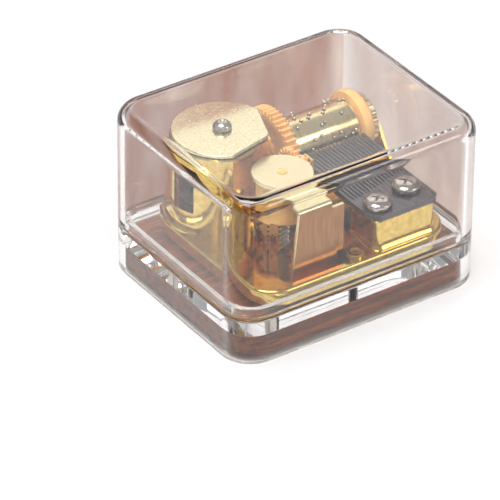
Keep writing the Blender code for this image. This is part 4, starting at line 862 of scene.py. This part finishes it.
# ---------------------------------------------------------------- governor
def make_bracket(finish):
    """One strip of sheet: a wide front plate, a rounded fold, and a top that ends in a round lobe."""
    low, high = BRACKET_LOW, BRACKET_HIGH
    foot_half, fold_half = 6.1, 4.3
    middle = low.x + foot_half
    lobe, lobe_start, lobe_sweep = 6.7, -44, 133.5
    fold, top = low.y, high.z
    bend = 1.0
    stations = []
    front_steps, bend_steps, lobe_steps = 8, 6, 32
    for i in range(front_steps + 1):
        share = i / front_steps
        z = low.z + (top - bend - low.z) * share
        half = foot_half - (foot_half - fold_half) * share
        stations.append((fold, z, -1.0, 0.0, middle - half, middle + half))
    for i in range(1, bend_steps + 1):
        angle = math.pi / 2 * i / bend_steps
        stations.append((fold + bend * (1 - math.cos(angle)), top - bend * (1 - math.sin(angle)),
                         -math.cos(angle), math.sin(angle), middle - fold_half, middle + fold_half))
    neck = fold + 5.6
    stations.append((neck, top, 0.0, 1.0, middle - 4.0, middle + 3.9))
    for i in range(lobe_steps + 1):
        y = SPINDLE.y + lobe * math.sin(math.radians(lobe_start + lobe_sweep * i / lobe_steps))
        half = math.sqrt(max(lobe ** 2 - (y - SPINDLE.y) ** 2, 0.0004))
        stations.append((y, top, 0.0, 1.0, SPINDLE.x - half, SPINDLE.x + half))
    rings = []
    soft = 0.12
    for y, z, ny, nz, left, right in stations:
        narrow = min(soft, (right - left) / 4)
        section = ((left + narrow, 0.0), (right - narrow, 0.0), (right, narrow), (right, SHEET - narrow),
                   (right - narrow, SHEET), (left + narrow, SHEET), (left, SHEET - narrow),
                   (left, narrow))
        rings.append([(x, y - ny * deep, z - nz * deep) for x, deep in section])
    piece("governor_sheet", loft(rings), "case_and_frame", finish, ("governor_bracket",), 35,
          even=True)
    ear = block((middle + 3.5, fold + 0.4, low.z + 4.0), (high.x, fold + 1.2, top - 2.0))
    piece("governor_ear", ear, "case_and_frame", finish, (), 30, edge=0.12)
    tab = block((middle - 2.5, fold + 0.2, low.z), (middle + 2.5, fold + 6.0, low.z + SHEET))
    piece("governor_tab", tab, "case_and_frame", finish, (), 30, edge=0.12)


def make_fly(nylon):
    """The moulded air brake cup on the spindle."""
    radius = (FLY_HIGH.x - FLY_LOW.x) / 2
    low, high = FLY_LOW.z, FLY_HIGH.z
    wall, deck, bore, hub, hub_depth = 0.9, 1.2, 0.75, 1.75, 3.5
    inner, edge = radius - wall, 0.2
    profile = [(bore, high), (radius - 0.4, high), (radius - 0.1, high - 0.1), (radius, high - 0.4),
               (radius, low + edge), (radius - edge, low), (inner + edge, low), (inner, low + edge),
               (inner, high - deck), (hub, high - deck), (hub, high - hub_depth),
               (bore, high - hub_depth)]
    piece("air_brake_cup", turned(profile, "z", SPINDLE, 72, closed=True), "governor", nylon,
          ("governor_fly",), 35)


def make_arbor(finish):
    """The winding arbor, its riveted head domed with a small centre mark."""
    low, high = sizes_of("winding_arbor")
    head, shoulder = PLATE_HIGH.z + SEAT_GAP, PLATE_LOW.z - SEAT_GAP
    shaft, neck = 2.0, 1.4
    profile = [(shaft - 0.4, low.z), (shaft, low.z + 0.4), (shaft, shoulder), (neck, shoulder),
               (neck, head), (2.0, head), (2.1, head + 0.1), (2.1, head + 0.45), (1.9, head + 0.9),
               (1.5, head + 1.3), (1.0, head + 1.55), (0.75, high.z), (0.55, high.z - 0.02),
               (0.3, high.z - 0.25), (0.08, high.z - 0.32)]
    piece("riveted_arbor", turned(profile, "z", BARREL, 48), "winding", finish,
          ("winding_arbor",), 30)


# ---------------------------------------------------------------- stage
def make_stage():
    """A plain pale floor, soft boxes behind, above on the left and in front, and a pale room."""
    mesh = bpy.data.meshes.new("floor")
    reach = 2.5
    mesh.from_pydata([(-reach, -reach, 0), (reach, -reach, 0), (reach, reach, 0), (-reach, reach, 0)],
                     [], [(0, 1, 2, 3)])
    floor = bpy.data.objects.new("floor", mesh)
    bpy.context.scene.collection.objects.link(floor)
    paper, tree, shader, place = finish_of("pale_paper", Roughness=0.9)
    fibres = noise(tree, place, "Object", 3, 3.0)
    paint(tree, shader, fibres, "Fac", ((0.3, "#FBFBFB"), (0.7, "#FEFEFE")))
    mesh.materials.append(paper)
    middle = Vector((0, 0, 0.02))
    for name, spot, size, brightness in (("back_box", (0.62, 0.88, 0.75), 1.0, 0.95),
                                         ("top_box", (-0.25, -0.05, 1.0), 0.55, 8.0),
                                         ("front_box", (0.5, -0.8, 0.55), 0.3, 4.0)):
        light = bpy.data.lights.new(name, "AREA")
        light.size = size
        light.energy = brightness * math.pi * size ** 2
        lamp = bpy.data.objects.new(name, light)
        lamp.location = spot
        aim = middle - lamp.location
        lamp.rotation_euler = aim.to_track_quat("-Z", "Y").to_euler()
        bpy.context.scene.collection.objects.link(lamp)
    world = bpy.data.worlds.new("pale_room")
    world.use_nodes = True
    world.node_tree.nodes["Background"].inputs["Color"].default_value = colour("#F4F5FA")
    world.node_tree.nodes["Background"].inputs["Strength"].default_value = 0.36
    bpy.context.scene.world = world
    bpy.context.scene.view_settings.view_transform = "Standard"
    cycles = bpy.context.scene.cycles
    cycles.max_bounces = 48
    cycles.glossy_bounces = 24
    cycles.transmission_bounces = 48
    cycles.transparent_max_bounces = 16


def make_camera():
    """A long lens from the front left, above: the object sits right of and above the middle."""
    azimuth, elevation, roll = math.radians(-34.765), math.radians(33.6), math.radians(-0.555)
    distance, shift_right, shift_up = 960.6 * MM, 9.75 * MM, 12.81 * MM
    back = Vector((math.sin(azimuth) * math.cos(elevation), -math.cos(azimuth) * math.cos(elevation),
                   math.sin(elevation)))
    turn = Matrix.Rotation(roll, 3, -back) @ (-back).to_track_quat("-Z", "Y").to_matrix()
    right, up = turn @ Vector((1, 0, 0)), turn @ Vector((0, 1, 0))
    target = Vector((0, 0, COVER_HIGH.z / 2)) * MM - right * shift_right - up * shift_up
    lens = bpy.data.cameras.new("camera")
    lens.sensor_width = 36
    lens.lens = 321
    lens.clip_end = 10
    camera = bpy.data.objects.new("camera", lens)
    camera.matrix_world = Matrix.Translation(target + back * distance) @ turn.to_4x4()
    bpy.context.scene.collection.objects.link(camera)
    bpy.context.scene.camera = camera


def main():
    casting_gold = plated_gold("casting_gold", "#EED284", "#DAB65E", 0.10, 1.2, 0.04)
    sheet_gold = plated_gold("sheet_gold", "#F2E9C4", "#E6D9A8", 0.2, 0.6, 0.08)
    pin_gold = plated_gold("pin_gold", "#FBF2D2", "#D8BC7C", 0.16, 0.5)
    bracket_painted_front = bracket_gold()
    brass = turned_brass()
    nickel = bright_metal("nickel_plate", "#DAD4CE", "#B8B0A8", 0.14, 0.8)
    steel = bright_metal("turned_steel", "#B8B6B4", "#8E8C8A", 0.22, 0.4)
    spring = bright_metal("blued_spring", "#5A5860", "#3A3840", 0.3, 0.4)
    comb_steel = ground_comb_steel()
    nylon = moulded_nylon()

    make_case(polished_acrylic(), tray_acrylic(), oiled_walnut())
    make_bed(casting_gold)
    make_barrel(casting_gold)
    make_bed_blocks(casting_gold)
    make_barrel_plate(sheet_gold)
    make_drum(brass, nylon, pin_gold, set_pins_painted_foot_shade())
    make_train_wheels(nylon)
    make_comb(comb_steel)
    make_screw("comb_screw_a", "comb_screw_left", nickel)
    make_screw("comb_screw_b", "comb_screw_right", nickel)
    make_bracket(bracket_painted_front)
    make_fly(nylon)
    make_arbor(nickel)
    for node, finish, slot, edge in (
            ("mainspring", spring, "spring_steel", 0.0), ("great_wheel", nylon, "tan_nylon", 0.0),
            ("ratchet_wheel", steel, "bright_steel", 0.0), ("winding_key", nickel, "nickel", 0.15),
            ("drive_pinion", nylon, "tan_nylon", 0.0), ("drum_shaft", steel, "bright_steel", 0.0),
            ("drum_bracket", casting_gold, "gold_plate", 0.0),
            ("drum_bracket_screw_1", nickel, "nickel", 0.0),
            ("drum_bracket_screw_2", nickel, "nickel", 0.0), ("governor_screw", nickel, "nickel", 0.0),
            ("spindle_bush", nylon, "tan_nylon", 0.0), ("worm_spindle", steel, "bright_steel", 0.0),
            ("worm_wheel", nylon, "tan_nylon", 0.0), ("second_pinion", nylon, "tan_nylon", 0.0),
            ("second_arbor", steel, "bright_steel", 0.0), ("first_arbor", steel, "bright_steel", 0.0),
            ("first_pinion", nylon, "tan_nylon", 0.0), ("train_cock", casting_gold, "gold_plate", 0.0),
            ("case_screw_1", nickel, "nickel", 0.0), ("case_screw_2", nickel, "nickel", 0.0),
            ("case_screw_3", nickel, "nickel", 0.0)):
        finer(node, finish, edge)
    make_stage()
    make_camera()


main()
